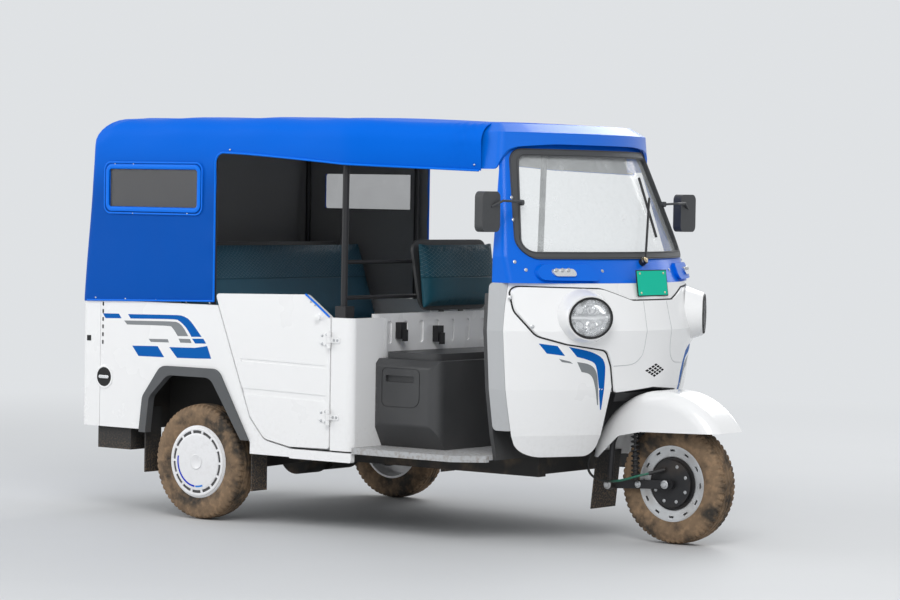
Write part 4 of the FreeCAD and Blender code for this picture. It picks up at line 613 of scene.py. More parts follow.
def canopyPoint(column, row):
    # one vertex, or None where the valance has no cloth
    x, y = column["x"], column["y"]
    back = column["part"] != "side"
    lean = 1.0 if back else clamp((-0.53 - x) / 0.12)
    round_ = lerp(canopy["sideRound"], canopy["backRound"], lean)
    tip = roofHeight(x, y) - round_
    nx, ny = column["n"]
    inX, inY = column["in"]  # way in from the wall to the roof, so that the rounded corner doesn't fold over

    def leaned(z):
        return max(0.0, z - canopy["leanFrom"]) * canopy["lean"] * lean

    if not back and x < canopy["fanStart"]:
        # the roof's edge of the side wall runs on evenly to the rounded corner
        share = (canopy["fanStart"] - x) / (canopy["fanStart"] - canopy["rear"] - canopy["planCorner"])
        inX = (lerp(canopy["fanStart"], canopy["cornerEdge"], share) - x - leaned(tip)) / round_

    if row <= wallCount:
        start = 0
        for low, high, count in wallRows:
            if row <= start + count:
                break
            start += count
        hem = hemHeight(x)
        if not column["quarter"]:
            if row < windowRows.stop:
                return None
            low = hem if low == wallRows[2][0] else low
        if low == "hem":
            low = hem
        z = lerp(low, high if high else tip, (row - start) / count)
        if not column["quarter"] and row == windowRows.stop:
            z = hem
        point = Vector((x + leaned(z), y, z))
        outward = Vector((-nx, -ny, 0))
    elif row <= wallCount + arcRows:
        a = math.pi / 2 * (row - wallCount) / arcRows
        d = round_ * (1 - math.cos(a))
        z = tip + round_ * math.sin(a)
        point = Vector((x + leaned(min(z, tip)) + inX * d, y + inY * d, z))
        outward = Vector((-nx * math.cos(a), -ny * math.cos(a), math.sin(a)))
    else:
        t = (row - wallCount - arcRows) / roofRows
        edge = Vector((x + leaned(tip) + inX * round_, y + inY * round_, 0))
        spine = Vector((max(edge.x, -0.30), 0.0, 0))
        flat = edge.lerp(spine, t)
        z = roofHeight(flat.x, flat.y)
        blendIn = clamp(t / 0.12)
        z = lerp(roofHeight(x, y), z, blendIn * blendIn * (3 - 2 * blendIn))
        point = Vector((flat.x, flat.y, z))
        outward = Vector((0, 0, 1))
    return dress(point, outward)


def dress(point, outward):
    # sag between the bows, soft folds and a little unevenness of hand-sewn cloth
    x, y, z = point
    bows = canopy["bows"]
    dip = 0.0
    for low, high in zip(bows, bows[1:]):
        if low <= x <= high:
            dip = math.sin(math.pi * (x - low) / (high - low)) ** 2 * min(1.0, (high - low) / 0.4)
    top = clamp((z - 1.60) / 0.10)
    move = -canopy["sag"] * dip * top
    slow = noise.noise(Vector((x * 2.1, y * 2.1, z * 2.4)))
    fold = noise.noise(Vector((x * 9 + z * 2.5, y * 9, z * 2.2 + 7)))
    wall = 1 - clamp((z - 1.55) / 0.15)
    move += (slow * 0.0035 - 0.004) * wall + fold * 0.0016 * (0.4 + 0.6 * wall)
    gather = math.exp(-((x - 1.30) / 0.06) ** 2) * clamp((z - 1.5) / 0.1)  # cloth gathers before the visor
    move += 0.0045 * gather * math.sin(x * 190 + z * 60) - 0.003 * gather
    pull = math.exp(-((x - canopy["quarterFront"]) / 0.05) ** 2) * wall
    move -= 0.002 * pull * math.sin(z * 40)
    return point + outward * move + Vector((rearAxleX, 0, 0))


def makeCanopy():
    right = canopyColumns()
    left = [{**column, "y": -column["y"], **{key: (column[key][0], -column[key][1]) for key in ("n", "in")}}
            for column in right[-2::-1]]
    columns = right + left
    rowCount = wallCount + arcRows + roofRows + 1
    points = [[canopyPoint(column, row) for row in range(rowCount)] for column in columns]
    index, verts = {}, []
    for c, line in enumerate(points):
        for r, point in enumerate(line):
            if point is not None:
                index[c, r] = len(verts)
                verts.append(point)
    lowX, highX = canopy["windowX"]
    faces = []
    for c in range(len(columns) - 1):
        first, second = columns[c], columns[c + 1]
        midX = (first["x"] + second["x"]) / 2
        sideWindow = first["part"] == "side" and lowX < midX < highX and first["quarter"]
        for r in range(rowCount - 1):
            if r in windowRows and sideWindow:
                continue
            corners = [(c, r), (c, r + 1), (c + 1, r + 1), (c + 1, r)]
            if all(k in index for k in corners):
                faces.append([index[k] for k in corners])
    mesh = bpy.data.meshes.new("canopy")
    mesh.from_pydata(verts, [], faces)
    piece = bpy.data.objects.new("canopy", mesh)
    bpy.context.scene.collection.objects.link(piece)
    mesh.materials.append(finishes["canopyBlue"])
    mesh.materials.append(finishes["lining"])
    weld = piece.modifiers.new("weld", "WELD")
    weld.merge_threshold = 0.0002
    cloth = piece.modifiers.new("cloth", "SOLIDIFY")
    cloth.thickness, cloth.offset = canopy["thick"], -1.0
    cloth.material_offset, cloth.material_offset_rim = 1, 0
    apply(piece, "weld", "cloth")
    piece.data.polygons.foreach_set("use_smooth", [True] * len(piece.data.polygons))
    piece.data.set_sharp_from_angle(angle=math.radians(60))
    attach(piece, "chassis")
    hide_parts("canopy_roof", "canopy_curtains")
    area = sum(p.area for p in piece.data.polygons) / 2
    print("canopy area", round(area, 3), "faces", len(faces))
    return piece


canopyPiece = makeCanopy()


def canopyTrim():
    # piping along the lower edges, window borders and rivets
    shape = Shape()
    for side in (1, -1):
        def put(x, z, out=0.0):
            return Vector((x + rearAxleX, side * -(planHalf(x) + out), z))
        quarter, bend = canopy["quarterFront"], canopy["hemCorner"]
        hem = [put(x, hemHeight(x) + 0.004) for x in (lerp(quarter, -0.65, i / 40) for i in range(41))]
        shape.tube(hem, 0.0042, 8)
        edge = [put(quarter, lerp(0.95, canopy["hemTop"] - bend, i / 30)) for i in range(31)]
        arch = [put(x, hemHeight(x)) for x in (quarter + bend * (1 - math.cos(math.pi / 2 * i / 10))
                                               for i in range(1, 11))]
        valance = [put(x, hemHeight(x)) for x in (lerp(0.150, 1.375, i / 60) for i in range(61))]
        shape.tube(edge + arch + valance, 0.0045, 8)
        low, high = canopy["windowX"]
        bottom, top = canopy["windowZ"]
        for margin, wide, lift in ((0.012, 0.010, 0.0015), (0.030, 0.0035, 0.0015)):
            ring = []
            corner = 0.02 + margin * 0.5
            for cx, cz, start in ((high + margin - corner, top + margin - corner, 0),
                                  (low - margin + corner, top + margin - corner, 90),
                                  (low - margin + corner, bottom - margin + corner, 180),
                                  (high + margin - corner, bottom - margin + corner, 270)):
                for k in range(9):
                    a = math.radians(start + k * 11.25)
                    ring.append(put(cx + corner * math.cos(a), cz + corner * math.sin(a), lift - 0.006))
            flat = Shape()
            flat.tube(ring, wide, 8, ring=True)
            for v in flat.verts:
                v.y = side * -(0.755 + lift) + (v.y + side * (0.755 + lift - 0.006)) * 0.25
            shape.add(flat.verts, flat.faces)
    shape.make("canopyPiping", "pipingBlue")
    studs = Shape()
    for side in (1, -1):
        out = Vector((0, -side, 0))
        for x in (-0.60, -0.42, -0.24, -0.06, 0.075):
            studs.rivet(Vector((x + rearAxleX, side * -0.7525, 0.944)), out, 0.0045)
        for x, z in ((-0.49, 1.538), (-0.38, 1.538), (-0.38, 1.322), (-0.06, 1.326)):
            studs.rivet(Vector((x + rearAxleX, side * -0.7555, z)), out, 0.0032)
        for x, z in ((1.355, 1.552), (0.18, 1.604)):
            studs.rivet(Vector((x + rearAxleX, side * -(planHalf(x) - 0.002), z)), out, 0.0045)
    studs.make("canopyStuds", "steel")


def windowPanes():
    # film sewn behind the opening in each side curtain
    shape = Shape()
    (low, high), (bottom, top), lap = canopy["windowX"], canopy["windowZ"], 0.006
    outline = rectangle(low - lap, high + lap, bottom - lap, top + lap, 0.02, 5)
    for side in (1, -1):
        shape.slab([Vector((x + rearAxleX, side * 0.7465, z)) for x, z in outline], (0, side * 0.0015, 0))
    shape.make("windowPanes", "windowFilm", replaces=("canopy_windows",), slot="window_film", smooth=30)


canopyTrim()
windowPanes()
print("canopy made")


# seats
seats = {  # size is length across, depth, thickness; tilt is about the cross axis
    "benchCushion": {"size": (1.300, 0.470, 0.082), "place": at(84, 0, 748), "tilt": 0, "crown": 0.012,
                     "finish": "bench", "node": "rear_cushion", "spans": (60, 26),
                     "voxel": 0.009, "cap": 0.008},
    "benchBack": {"size": (1.300, 0.385, 0.066), "place": at(-192, 0, 1004), "tilt": 71.8, "crown": 0.006,
                  "finish": "benchBack", "node": "rear_backrest", "spans": (60, 22),
                  "voxel": 0.009, "cap": 0.008},
    "driverPad": {"size": (0.515, 0.275, 0.040), "place": at(843, 0, 1078), "tilt": 84.2, "crown": 0.008,
                  "finish": "driverPad", "node": "driver_backrest", "spans": (30, 18),
                  "voxel": 0.006, "cap": 0.006},
}


def pad(name, seat):
    # crowned cushion with denser points near its edges
    length, depth, thick = seat["size"]
    drop = 0.035 * 0.35  # how far the rim falls below the middle

    def ease(t):  # -1..1, denser near the ends
        return math.copysign(1 - (1 - abs(t)) ** 1.35, t)

    def surface(u, v, face):
        # u, v in -1..1 over the top or bottom
        edge = max(abs(u) ** 10, abs(v) ** 6)
        swell = (1 - u ** 4) * (1 - v ** 4)
        half = thick / 2 - drop * edge
        return Vector((v * (depth / 2 - 0.004 * (1 - swell)), u * (length / 2),
                       face * (half + (seat["crown"] if face > 0 else 0.002) * swell)))

    def rim(grid):
        return [*grid[0][:-1], *[row[-1] for row in grid[:-1]],
                *grid[-1][:0:-1], *[row[0] for row in grid[:0:-1]]]

    us, vs = [[ease(lerp(-1, 1, i / count)) for i in range(count + 1)] for count in seat["spans"]]
    top, bottom = [[[surface(u, v, face) for u in us] for v in vs] for face in (1, -1)]
    shape = Shape()
    shape.grid(top)
    shape.grid(bottom, flip=True)
    rows, steps = [], 6
    for k in range(steps + 1):
        line = []
        for a, b in zip(rim(top), rim(bottom)):
            outward = [share if abs(share) > 0.9 else 0 for share in (a.x / (depth / 2), a.y / (length / 2))]
            line.append(a.lerp(b, k / steps) + Vector((*outward, 0)) * 0.006 * math.sin(math.pi * k / steps))
        rows.append(line)
    shape.grid(rows, True, flip=True)
    turn = Matrix.Rotation(math.radians(seat["tilt"]), 4, "Y")
    shape.verts = [turn @ v + Vector(seat["place"]) for v in shape.verts]
    piece = shape.make(name, seat["finish"], replaces=(seat["node"],), slot="seat_vinyl", smooth=80)
    weld = piece.modifiers.new("weld", "WELD")
    weld.merge_threshold = 0.0005
    apply(piece, "weld")
    return piece


def inflate(piece, voxel, cap):
    # swells the padded piece by a short cloth run, each point held to a small move
    scene = bpy.context.scene
    shell = piece.modifiers.new("shell", "REMESH")
    shell.mode, shell.voxel_size, shell.use_smooth_shade = "VOXEL", voxel, True
    apply(piece, "shell")
    start = [v.co.copy() for v in piece.data.vertices]
    swell = piece.modifiers.new("swell", "CLOTH").settings
    swell.use_pressure = True
    swell.uniform_pressure_force = 3.0
    swell.effector_weights.gravity = 0.0
    swell.quality = 4
    scene.frame_start, scene.frame_end = 1, 20
    for number in range(1, 21):
        scene.frame_set(number)
    apply(piece, "swell")
    for vertex, old in zip(piece.data.vertices, start):
        move = vertex.co - old
        if move.length > cap:
            vertex.co = old + move * (cap / move.length)
    scene.frame_set(1)
    print(piece.name, "inflated,", len(piece.data.vertices), "points")


for name, seat in seats.items():
    cushion = pad(name, seat)
    inflate(cushion, seat["voxel"], seat["cap"])
print("seats made")


# tyres
tyreSizes = {"bead": 0.158, "crown": 0.245, "rise": 0.005, "crownHalf": 0.048, "groove": 0.007, "around": 300,
             "grooves": (-0.030, -0.0105, 0.0105, 0.030), "blocks": 60}


def tyreProfile():
    # half section from the bead out, the crown and the other half: (offset, radius, on the crown)
    half = tyreSizes["crownHalf"]
    wall = smoothLine([(-0.052, tyreSizes["bead"], 0), (-0.0575, 0.170, 0), (-0.0625, 0.190, 0),
                       (-0.0625, 0.208, 0), (-0.0600, 0.222, 0), (-0.0565, 0.234, 0), (-0.0520, 0.2415, 0),
                       (-half, tyreSizes["crown"], 0)], 3)
    crown = [(a, tyreSizes["crown"] + tyreSizes["rise"] * (1 - (abs(a) / half) ** 2.2), True)
             for a in (lerp(-half, half, i / 38) for i in range(1, 38))]
    return [(p.x, p.y, False) for p in wall] + crown + [(-p.x, p.y, False) for p in reversed(wall)]


def makeTyre(name, x, y, body, node):
    # crown with four wavy grooves round it and slanted cuts on both shoulders
    rows = []
    count, blocks, profile = tyreSizes["around"], tyreSizes["blocks"], tyreProfile()
    phase = random.Random(5).random()
    for angle in circle(count):
        ring = []
        zig = 0.0022 * math.asin(math.sin(angle * 30 + phase)) / (math.pi / 2)
        for a, r, crown in profile:
            depth, wide, turns = 0.0, abs(a), angle * blocks / (2 * math.pi)
            if crown:
                depth = max(1.0 - clamp((abs(a - groove - zig) - 0.0012) / 0.0015)
                            for groove in tyreSizes["grooves"])
            if wide > 0.031:
                cut = (turns + (0.5 if a > 0 else 0.0) + wide * 9) % 1.0
                fade = clamp((wide - 0.031) / 0.002) * clamp((r - 0.226) / 0.006)
                depth = max(depth, (1.0 - clamp((abs(cut - 0.5) - 0.13) / 0.08)) * fade * 0.75)
            if crown and wide < 0.030:
                cut = (turns + a * 40) % 1.0
                depth = max(depth, (1.0 - clamp((abs(cut - 0.5) - 0.05) / 0.05)) * 0.35)
            ribs = 0.0 if crown else sum(math.exp(-((r - high) / 0.0022) ** 2) for high in (0.205, 0.178))
            r -= tyreSizes["groove"] * depth
            a += math.copysign(0.0012 * ribs, a)
            ring.append(at(x, y, 250) + Vector((r * math.sin(angle), a, r * math.cos(angle))))
        rows.append(ring)
    rows.append(rows[0])
    shape = Shape()
    shape.grid(rows)
    inner = [[at(x, y, 250) + Vector((0.157 * math.sin(a), side, 0.157 * math.cos(a)))
              for side in (0.052, -0.052)] for a in [*circle(count), 2 * math.pi]]
    shape.grid(inner)
    return shape.make(name, "tyre", body, (node,), "tyre", 30)


tyres = (("frontTyre", 2008, 0, "front_wheel", "front_tyre"),
         ("rearTyreRight", 0, -675.5, "right_wheel", "rear_tyre_right"),
         ("rearTyreLeft", 0, 675.5, "left_wheel", "rear_tyre_left"))
for tyre in tyres:
    makeTyre(*tyre)
print("tyres made")


# stripes
# sections hold height, middle of the front and radius of the bow
cowlSections = ((0.360, 1.775, 0.880), (0.450, 1.815, 0.880), (0.640, 1.862, 0.880), (0.880, 1.897, 0.880),
                (1.074, 1.852, 0.880))
screenSections = ((1.0743, 1.840, 1.000), (1.180, 1.772, 1.150), (1.662, 1.556, 1.150))


def bowX(sections, y, z):
    # front surface of the moulded front at a place, in the row frame
    for low, high in zip(sections, sections[1:]):
        if z <= high[0] or high is sections[-1]:
            share = (z - low[0]) / (high[0] - low[0])
            apex, radius = lerp(low[1], high[1], share), lerp(low[2], high[2], share)
            break
    return apex - radius + math.sqrt(radius ** 2 - y * y) + rearAxleX


def onBow(sections, y, z, out=0.0):
    # the same place as a point, moved outwards from the surface
    x = bowX(sections, y, z)
    slope = (bowX(sections, y, z + 0.004) - bowX(sections, y, z - 0.004)) / 0.008
    side = (bowX(sections, y + 0.004, z) - bowX(sections, y - 0.004, z)) / 0.008
    normal = Vector((1.0, -side, -slope)).normalized()
    return Vector((x, y, z)) + normal * out, normal


def band(shape, first, second, place, mark, rounded):
    # film between two edge lines given in a surface's own two directions
    lines = []
    for edge in (first, second):
        edge = [Vector((a, b, 0)) for a, b in edge]
        if rounded and len(edge) > 2:
            edge = smoothLine(edge, 6)
        lines.append(even(edge, 22))
    rows = []
    for a, b in zip(*lines):
        rows.append([place(*a.lerp(b, t / 4).xy) for t in range(5)])
    back = [[point - lift for point, lift in row] for row in rows]
    front = [[point + lift * 0.4 for point, lift in row] for row in rows]
    shape.grid(front, mark=mark)
    shape.grid(back, mark=mark, flip=True)
    rim = [row[0] for row in front] + front[-1][1:] + [row[-1] for row in front[-2::-1]] + front[0][-2:0:-1]
    rimBack = [row[0] for row in back] + back[-1][1:] + [row[-1] for row in back[-2::-1]] + back[0][-2:0:-1]
    shape.grid([rim, rimBack], True, mark)


stripes = {
    "side": (
        (0, [(-558, 875), (-461, 877)], [(-541, 854), (-445, 857)], False),
        (0, [(-406, 877), (-132, 883), (-90, 882), (-51, 870), (-17, 842), (29, 794)],
         [(-390, 858), (-146, 864), (-106, 859), (-73, 840), (-50, 818), (-30, 792)], True),
        (1, [(-429, 848), (-146, 854), (-101, 847), (-75, 827), (-49, 794)],
         [(-411, 831), (-168, 834), (-140, 825), (-125, 810), (-110, 792)], True),
        (1, [(-281, 773), (-168, 776)], [(-268, 760), (-161, 762)], False),
        (1, [(-105, 781), (-38, 782)], [(-94, 764), (-29, 765)], False),
        (0, [(-27, 784), (39, 787)], [(-7, 764), (56, 766)], False),
        (0, [(-379, 739), (-227, 743)], [(-340, 695), (-188, 696)], False),
        (0, [(-159, 742), (-10, 745), (62, 756)], [(-112, 697), (0, 699), (86, 702)], False),
    ),
    "cowl": (
        (0, [(-563, 831), (-498, 821)], [(-531, 790), (-465, 780)], False),
        (1, [(-486, 768), (-443, 757)], [(-473, 755), (-430, 748)], False),
        (0, [(-455, 817), (-393, 804), (-349, 791), (-309, 770), (-290, 741), (-283, 699), (-278, 637),
             (-270, 554)],
         [(-418, 776), (-371, 763), (-342, 750), (-328, 729), (-313, 679), (-296, 617), (-275, 554)], True),
        (1, [(-415, 755), (-368, 746), (-339, 729), (-321, 700), (-308, 646), (-290, 575)],
         [(-391, 714), (-358, 705), (-337, 684), (-318, 638), (-295, 575)], True),
    ),
}


def makeStripes():
    shape = Shape()
    for side in (1, -1):
        def flat(x, z):
            return at(x, -750 * side, z), Vector((0, -side * 0.0006, 0))

        def bowed(y, z):
            place, normal = onBow(cowlSections, y * side / 1000, z / 1000)
            return place, normal * 0.0006
        for surface, place in (("side", flat), ("cowl", bowed)):
            for mark, first, second, rounded in stripes[surface]:
                band(shape, first, second, place, mark, rounded)
    shape.make("stripes", "stripeBlue stripeGrey", smooth=30)


makeStripes()
print("stripes made")


# lamps, screws and small fittings
lamps = {"x": 1845.5, "y": 424, "z": 936.5, "turn": 29, "wide": 0.090, "high": 0.076, "deep": 0.064}


def lampPoint(side, forward, across, up):
    # place in a headlamp: forward along its axis, across outwards, up
    turn = math.radians(lamps["turn"]) * side
    ahead = Vector((math.cos(turn), math.sin(turn), 0))
    outwards = Vector((-math.sin(turn), math.cos(turn), 0)) * side
    middle = at(lamps["x"], side * lamps["y"], lamps["z"])
    return middle + ahead * forward + outwards * across + Vector((0, 0, up))


def headlamps():
    bowls, bars, rings = Shape(), Shape(), Shape()
    around = circle(64)
    for side in (-1, 1):
        def oval(forward, share, extra=0.0):
            return [lampPoint(side, forward, (lamps["wide"] * share + extra) * math.cos(a),
                              (lamps["high"] * share + extra) * math.sin(a)) for a in around]
        profile = [(-0.006, 0.985), (-0.014, 0.965), (-0.028, 0.90), (-0.042, 0.77), (-0.053, 0.58),
                   (-0.060, 0.36), (-0.062, 0.14), (-0.062, 0.01)]
        bowls.grid([oval(f, share) for f, share in profile], True, flip=side > 0)
        facets = []
        for f, share in profile[1:5]:
            line = []
            for k, a in enumerate(around):
                ridge = 0.0022 if k % 8 < 4 else 0.0
                line.append(lampPoint(side, f + ridge, lamps["wide"] * share * math.cos(a) * 0.985,
                                      lamps["high"] * share * math.sin(a) * 0.985))
            facets.append(line)
        bowls.grid(facets, True, flip=side > 0)
        ahead = lampPoint(side, 1, 0, 0) - lampPoint(side, 0, 0, 0)
        for up, radius in ((0.030, 0.019), (-0.034, 0.021)):
            cup = [(radius, -0.006), (radius, 0.006), (radius * 0.82, 0.007), (radius * 0.72, 0.001),
                   (0, -0.003)]
            for across in (-0.026, 0.026):
                bowls.turn(lampPoint(side, -0.050, across, up), ahead, cup, 32)
        rows = []
        section = ((-0.012, -0.005), (0, -0.0062), (0.003, -0.003), (0.003, 0.003), (0, 0.0062),
                   (-0.012, 0.005))
        for i in range(25):
            across = lerp(-0.0865, 0.0865, i / 24)
            bow = 0.010 * (1 - (across / 0.0865) ** 2)
            rows.append([lampPoint(side, -0.020 + bow + forward, across, up) for forward, up in section])
        bars.grid(rows, True)
        outer = [(0.0035, 0.0005), (0.0052, 0.0022), (0.0060, 0.0050), (0.0055, 0.0078), (0.0035, 0.0088)]
        rings.grid([oval(f, 1.0, extra) for f, extra in outer], True, flip=side < 0)
    bowls.make("headlampBowls", "reflector", smooth=50)
    bars.make("headlampBars", "lampBar", smooth=40)
    rings.make("headlampRings", "seamDarkAndShade", smooth=50)


def noseDetails():
    # joint line round the nose piece, creases beside its middle drawn as grey lines of painted shade, and the
    # dark tongue over the fender
    lines, crease = Shape(), Shape()
    half = [(0, 1004, 0), (-150, 1004, 60), (-300, 1052, 120), (-638, 1061, 30), (-634, 960, 60),
            (-580, 862, 60), (-470, 828, 80), (-296, 800, 40), (-262, 735, 40), (-232, 624, 16), (0, 641, 0)]
    outline = half + [(-y, z, r) for y, z, r in half[::-1] if y]
    ring = [(y / 1000, z / 1000) for y, z in roundedRing(outline)]
    line = even([(y, z, 0) for y, z in ring + ring[:1]], 260)[:-1]
    lines.tube([onBow(cowlSections, p.x, p.y, -0.0012)[0] for p in line], 0.0042, 8, ring=True)
    lines.make("noseJoint", "seamDarkAndShade")
    for path in ([(-85, 997), (-92, 900), (-98, 799), (-116, 766), (-159, 743), (-255, 737)],
                 [(85, 997), (90, 857), (98, 799), (116, 766), (159, 743), (255, 737)]):
        points = even(smoothLine([(y / 1000, z / 1000, 0) for y, z in path], 10), 70)
        crease.tube([onBow(cowlSections, p.x, p.y, 0.0096)[0] for p in points], 0.0016, 8)
    crease.make("noseCreaseShade", "creasePaintedShade")
    tongue = Shape()
    rows = []
    for i in range(13):
        t = i / 12
        z = lerp(0.622, 0.585, t)
        wide = lerp(0.205, 0.185, t)
        rows.append([Vector((bowX(cowlSections, wide * u, z) - 0.008 - 0.02 * t, wide * u, z)) for u in
                     (k / 12 - 1 for k in range(25))])
    back = [[p - Vector((0.004, 0, 0)) for p in row] for row in rows]
    tongue.grid(rows, flip=True)
    tongue.grid(back)
    tongue.grid([rows[0], back[0]])
    tongue.grid([rows[-1], back[-1]], flip=True)
    tongue.make("archTongue", "black")


def screenDetails():
    # edge lines of the screen's rubber, wiper pivot and fixings
    edge, cord = Shape(), Shape()
    for margin, out, radius in ((-0.0035, 0.0066, 0.0022), (-0.0245, 0.0066, 0.0028)):
        bottom, top = 0.613 + margin, 0.489 + margin
        low, high = 1.172 - margin, 1.622 + margin
        corner = 0.070 + margin
        outline = [(-bottom, low, corner), (bottom, low, corner), (top, high, corner), (-top, high, corner)]
        ring = roundedRing(outline)
        line = even([(y, z, 0) for y, z in ring + ring[:1]], 200)[:-1]
        cord.tube([onBow(screenSections, p.x, p.y, out)[0] for p in line], radius, 8, ring=True)
    cord.make("screenRubberLips", "sealRubber")
    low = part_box("front_plate")
    lean = 0.014
    corners = [Vector((low[1].x - (lean if up > 0 else 0) - 0.002, y, low[0].z if up < 0 else low[1].z))
               for y, up in ((-0.111, -1), (0.111, -1), (0.111, 1), (-0.111, 1))]
    for a, b in zip(corners, corners[1:] + corners[:1]):
        edge.tube([a, b], 0.0026, 8)
    edge.make("plateEdge", "seamDarkAndShade")
    brass, steel = Shape(), Shape()
    place, normal = onBow(screenSections, 0.020, 1.154, 0.028)
    brass.bolt(place, normal, 0.0085)
    brass.turn(place - normal * 0.012, normal,
               [(0.0125, 0), (0.0155, 0.002), (0.0155, 0.008), (0.0125, 0.010)], 24)
    for y in (-0.088, 0.088):
        for up in (-0.040, 0.040):
            x = low[1].x - lean * (0.5 + up / 0.104)
            brass.rivet(Vector((x, y, (low[0].z + low[1].z) / 2 + up)), (1, 0, 0.13), 0.005)
    brass.make("brassFixings", "clipBrass", smooth=35)
    screws = ((screenSections, 0.0006, 0.0048, ((0.250, 1.124), (0.585, 1.128), (0.618, 1.160))),
              (screenSections, 0.0006, 0.0055, ((0.568, 1.330), (0.545, 1.420))),
              (cowlSections, 0.0104, 0.0055, ((0.638, 1.014), (0.587, 0.898))))
    button = [(0.0085, -0.003), (0.0085, 0.0), (0.006, 0.0024), (0, 0.0032)]
    for side in (-1, 1):
        for sections, out, size, places in screws:
            for y, z in places:
                steel.bolt(*onBow(sections, side * y, z, out), size)
        for y in (0.430, 0.455, 0.480):
            steel.turn(*onBow(screenSections, side * y, 1.119, 0.0262), button, 20)
    steel.make("frontScrews", "steel", smooth=35)


def mirrorGlass():
    shape = Shape()
    for side in (-1, 1):
        shape.slab([at(1521.3, side * 730, 1362) + Vector((0, y, z))
                    for y, z in rectangle(-0.054, 0.054, -0.076, 0.076, 0.022, 6)], (-0.0016, 0, 0))
    shape.make("mirrorPanes", "mirrorGlass", smooth=30)


def doorDetails():
    steel, seal, grip = Shape(), Shape(), Shape()
    for side in (1, -1):
        out = Vector((0, -side, 0))
        for z in (488, 811):
            for dx, dz in ((-44, 17), (-44, -17), (-20, 22), (-20, -22), (20, 0), (38, 0)):
                steel.bolt(at(751.6 + dx, side * -754.3, z + dz), out, 0.0042)
        for x, z in ((640, 968), (664, 955)):
            steel.rivet(at(x, side * -750, z), out, 0.0052)
        path = [at(x, side * -751.5, z) for x, z in ((612, 999), (640, 980), (680, 953), (744, 907))]
        seal.tube(path, 0.0042, 8)
        grip.turn(at(690, side * -750, 905), out,
                  [(0.016, 0), (0.016, 0.003), (0.011, 0.005), (0.011, 0.016), (0.014, 0.018), (0, 0.020)],
                  24)
    steel.make("doorBolts", "steel", smooth=35)
    seal.make("doorEdge", "pipingBlue")
    grip.make("doorKnobs", "bodyWhite", smooth=40)


def sideDetails():
    # round latch cup whose well is painted dark as painted shade, seam slots at the rear corner and a vent
    # square drawn as dark patches of painted shade, on both sides
    dark, cup, well, paddle = Shape(), Shape(), Shape(), Shape()
    for side in (1, -1):
        out = Vector((0, -side, 0))
        middle = at(-545, side * -750, 594)
        cup.turn(middle, out,
                 [(0.052, 0.0002), (0.052, 0.002), (0.047, 0.0034), (0.043, 0.0026), (0.042, 0.0004)], 48)
        # the well inside the cup is dark: painted shade of its depth
        well.turn(middle, out, [(0.0425, 0.0003), (0.0425, 0.0016), (0.036, 0.0010), (0.0, 0.0008)], 48)
        paddle.slab([at(-545, side * -752.4, 594) + Vector((x, 0, z))
                     for x, z in rectangle(-0.030, 0.030, -0.007, 0.007, 0.006, 5)], out * 0.003)
        # dark patches for the seam slots and the vent square: painted shade of their openings
        for z in (918, 885, 850, 817, 782, 748):
            dark.slab([at(-556, side * -750.2, z) + Vector((x, 0, dz))
                       for x, dz in rectangle(-0.004, 0.004, -0.009, 0.009, 0.0035, 4)], out * 0.0008)
        dark.slab([at(-640, side * -750.2, 763) + Vector((x, 0, dz)) for x, dz in
                   ((-0.012, -0.012), (0.012, -0.012), (0.012, 0.012), (-0.012, 0.012))], out * 0.0012)
    cup.make("latchCups", "bodyWhite", smooth=40)
    well.make("latchWellShade", "seamDarkAndShade", smooth=40)
    paddle.make("latchPaddles", "chrome", smooth=30, bevel=0.0008)
    dark.make("slotShadePatches", "seamDarkAndShade", smooth=30)


def frontSuspension():
    # coil springs over their dampers, link bolts and bolts round the brake plate
    coils, body, bolts = Shape(), Shape(), Shape()
    for side in (-1, 1):
        low, high = at(1862, side * 100, 259), at(1854, side * 100, 479)
        way = (high - low).normalized()
        across = way.orthogonal().normalized()
        up = way.cross(across)
        turns, points = 8.5, []
        for i in range(241):
            a = 2 * math.pi * turns * i / 240
            t = lerp(0.030, 0.200, i / 240)
            points.append(low + way * t + (across * math.cos(a) + up * math.sin(a)) * 0.0158)
        coils.tube(points, 0.0032, 8)
        body.turn(low, way, [(0.0, 0.0), (0.012, 0.0), (0.013, 0.010), (0.0195, 0.022), (0.0195, 0.027),
                             (0.0105, 0.028), (0.0105, 0.115), (0.006, 0.118), (0.006, 0.196), (0.0195, 0.203),
                             (0.0195, 0.208), (0.013, 0.214), (0.010, 0.220), (0.0, 0.220)], 28)
        out = Vector((0, side, 0))
        for x, z, y, size in ((1732, 231, 117, 0.012), (1862, 240, 84, 0.010), (2008, 250, 106, 0.012)):
            bolts.bolt(at(x, side * y, z), out, size)
    plateTurns, hubTurns = (22, 67, 202, 247, 292, 337), range(0, 360, 45)
    for y, radius, way, turns in ((-60, 78, -1, plateTurns), (44, 74, 1, hubTurns)):
        for a in map(math.radians, turns):
            place = at(2008 + radius * math.cos(a), y, 250 + radius * math.sin(a))
            bolts.bolt(place, Vector((0, way, 0)), 0.0050)
    coils.make("frontSprings", "black", "steering", ("front_dampers",))
    body.make("damperBodies", "black", "steering", smooth=40)
    bolts.make("suspensionBolts", "steel", "steering", smooth=35)


wheelCover = {"slots": 14, "slotIn": 0.1235, "slotOut": 0.1370, "gap": 0.17, "proud": 0.003, "deep": 0.0036,
              "steps": 12}


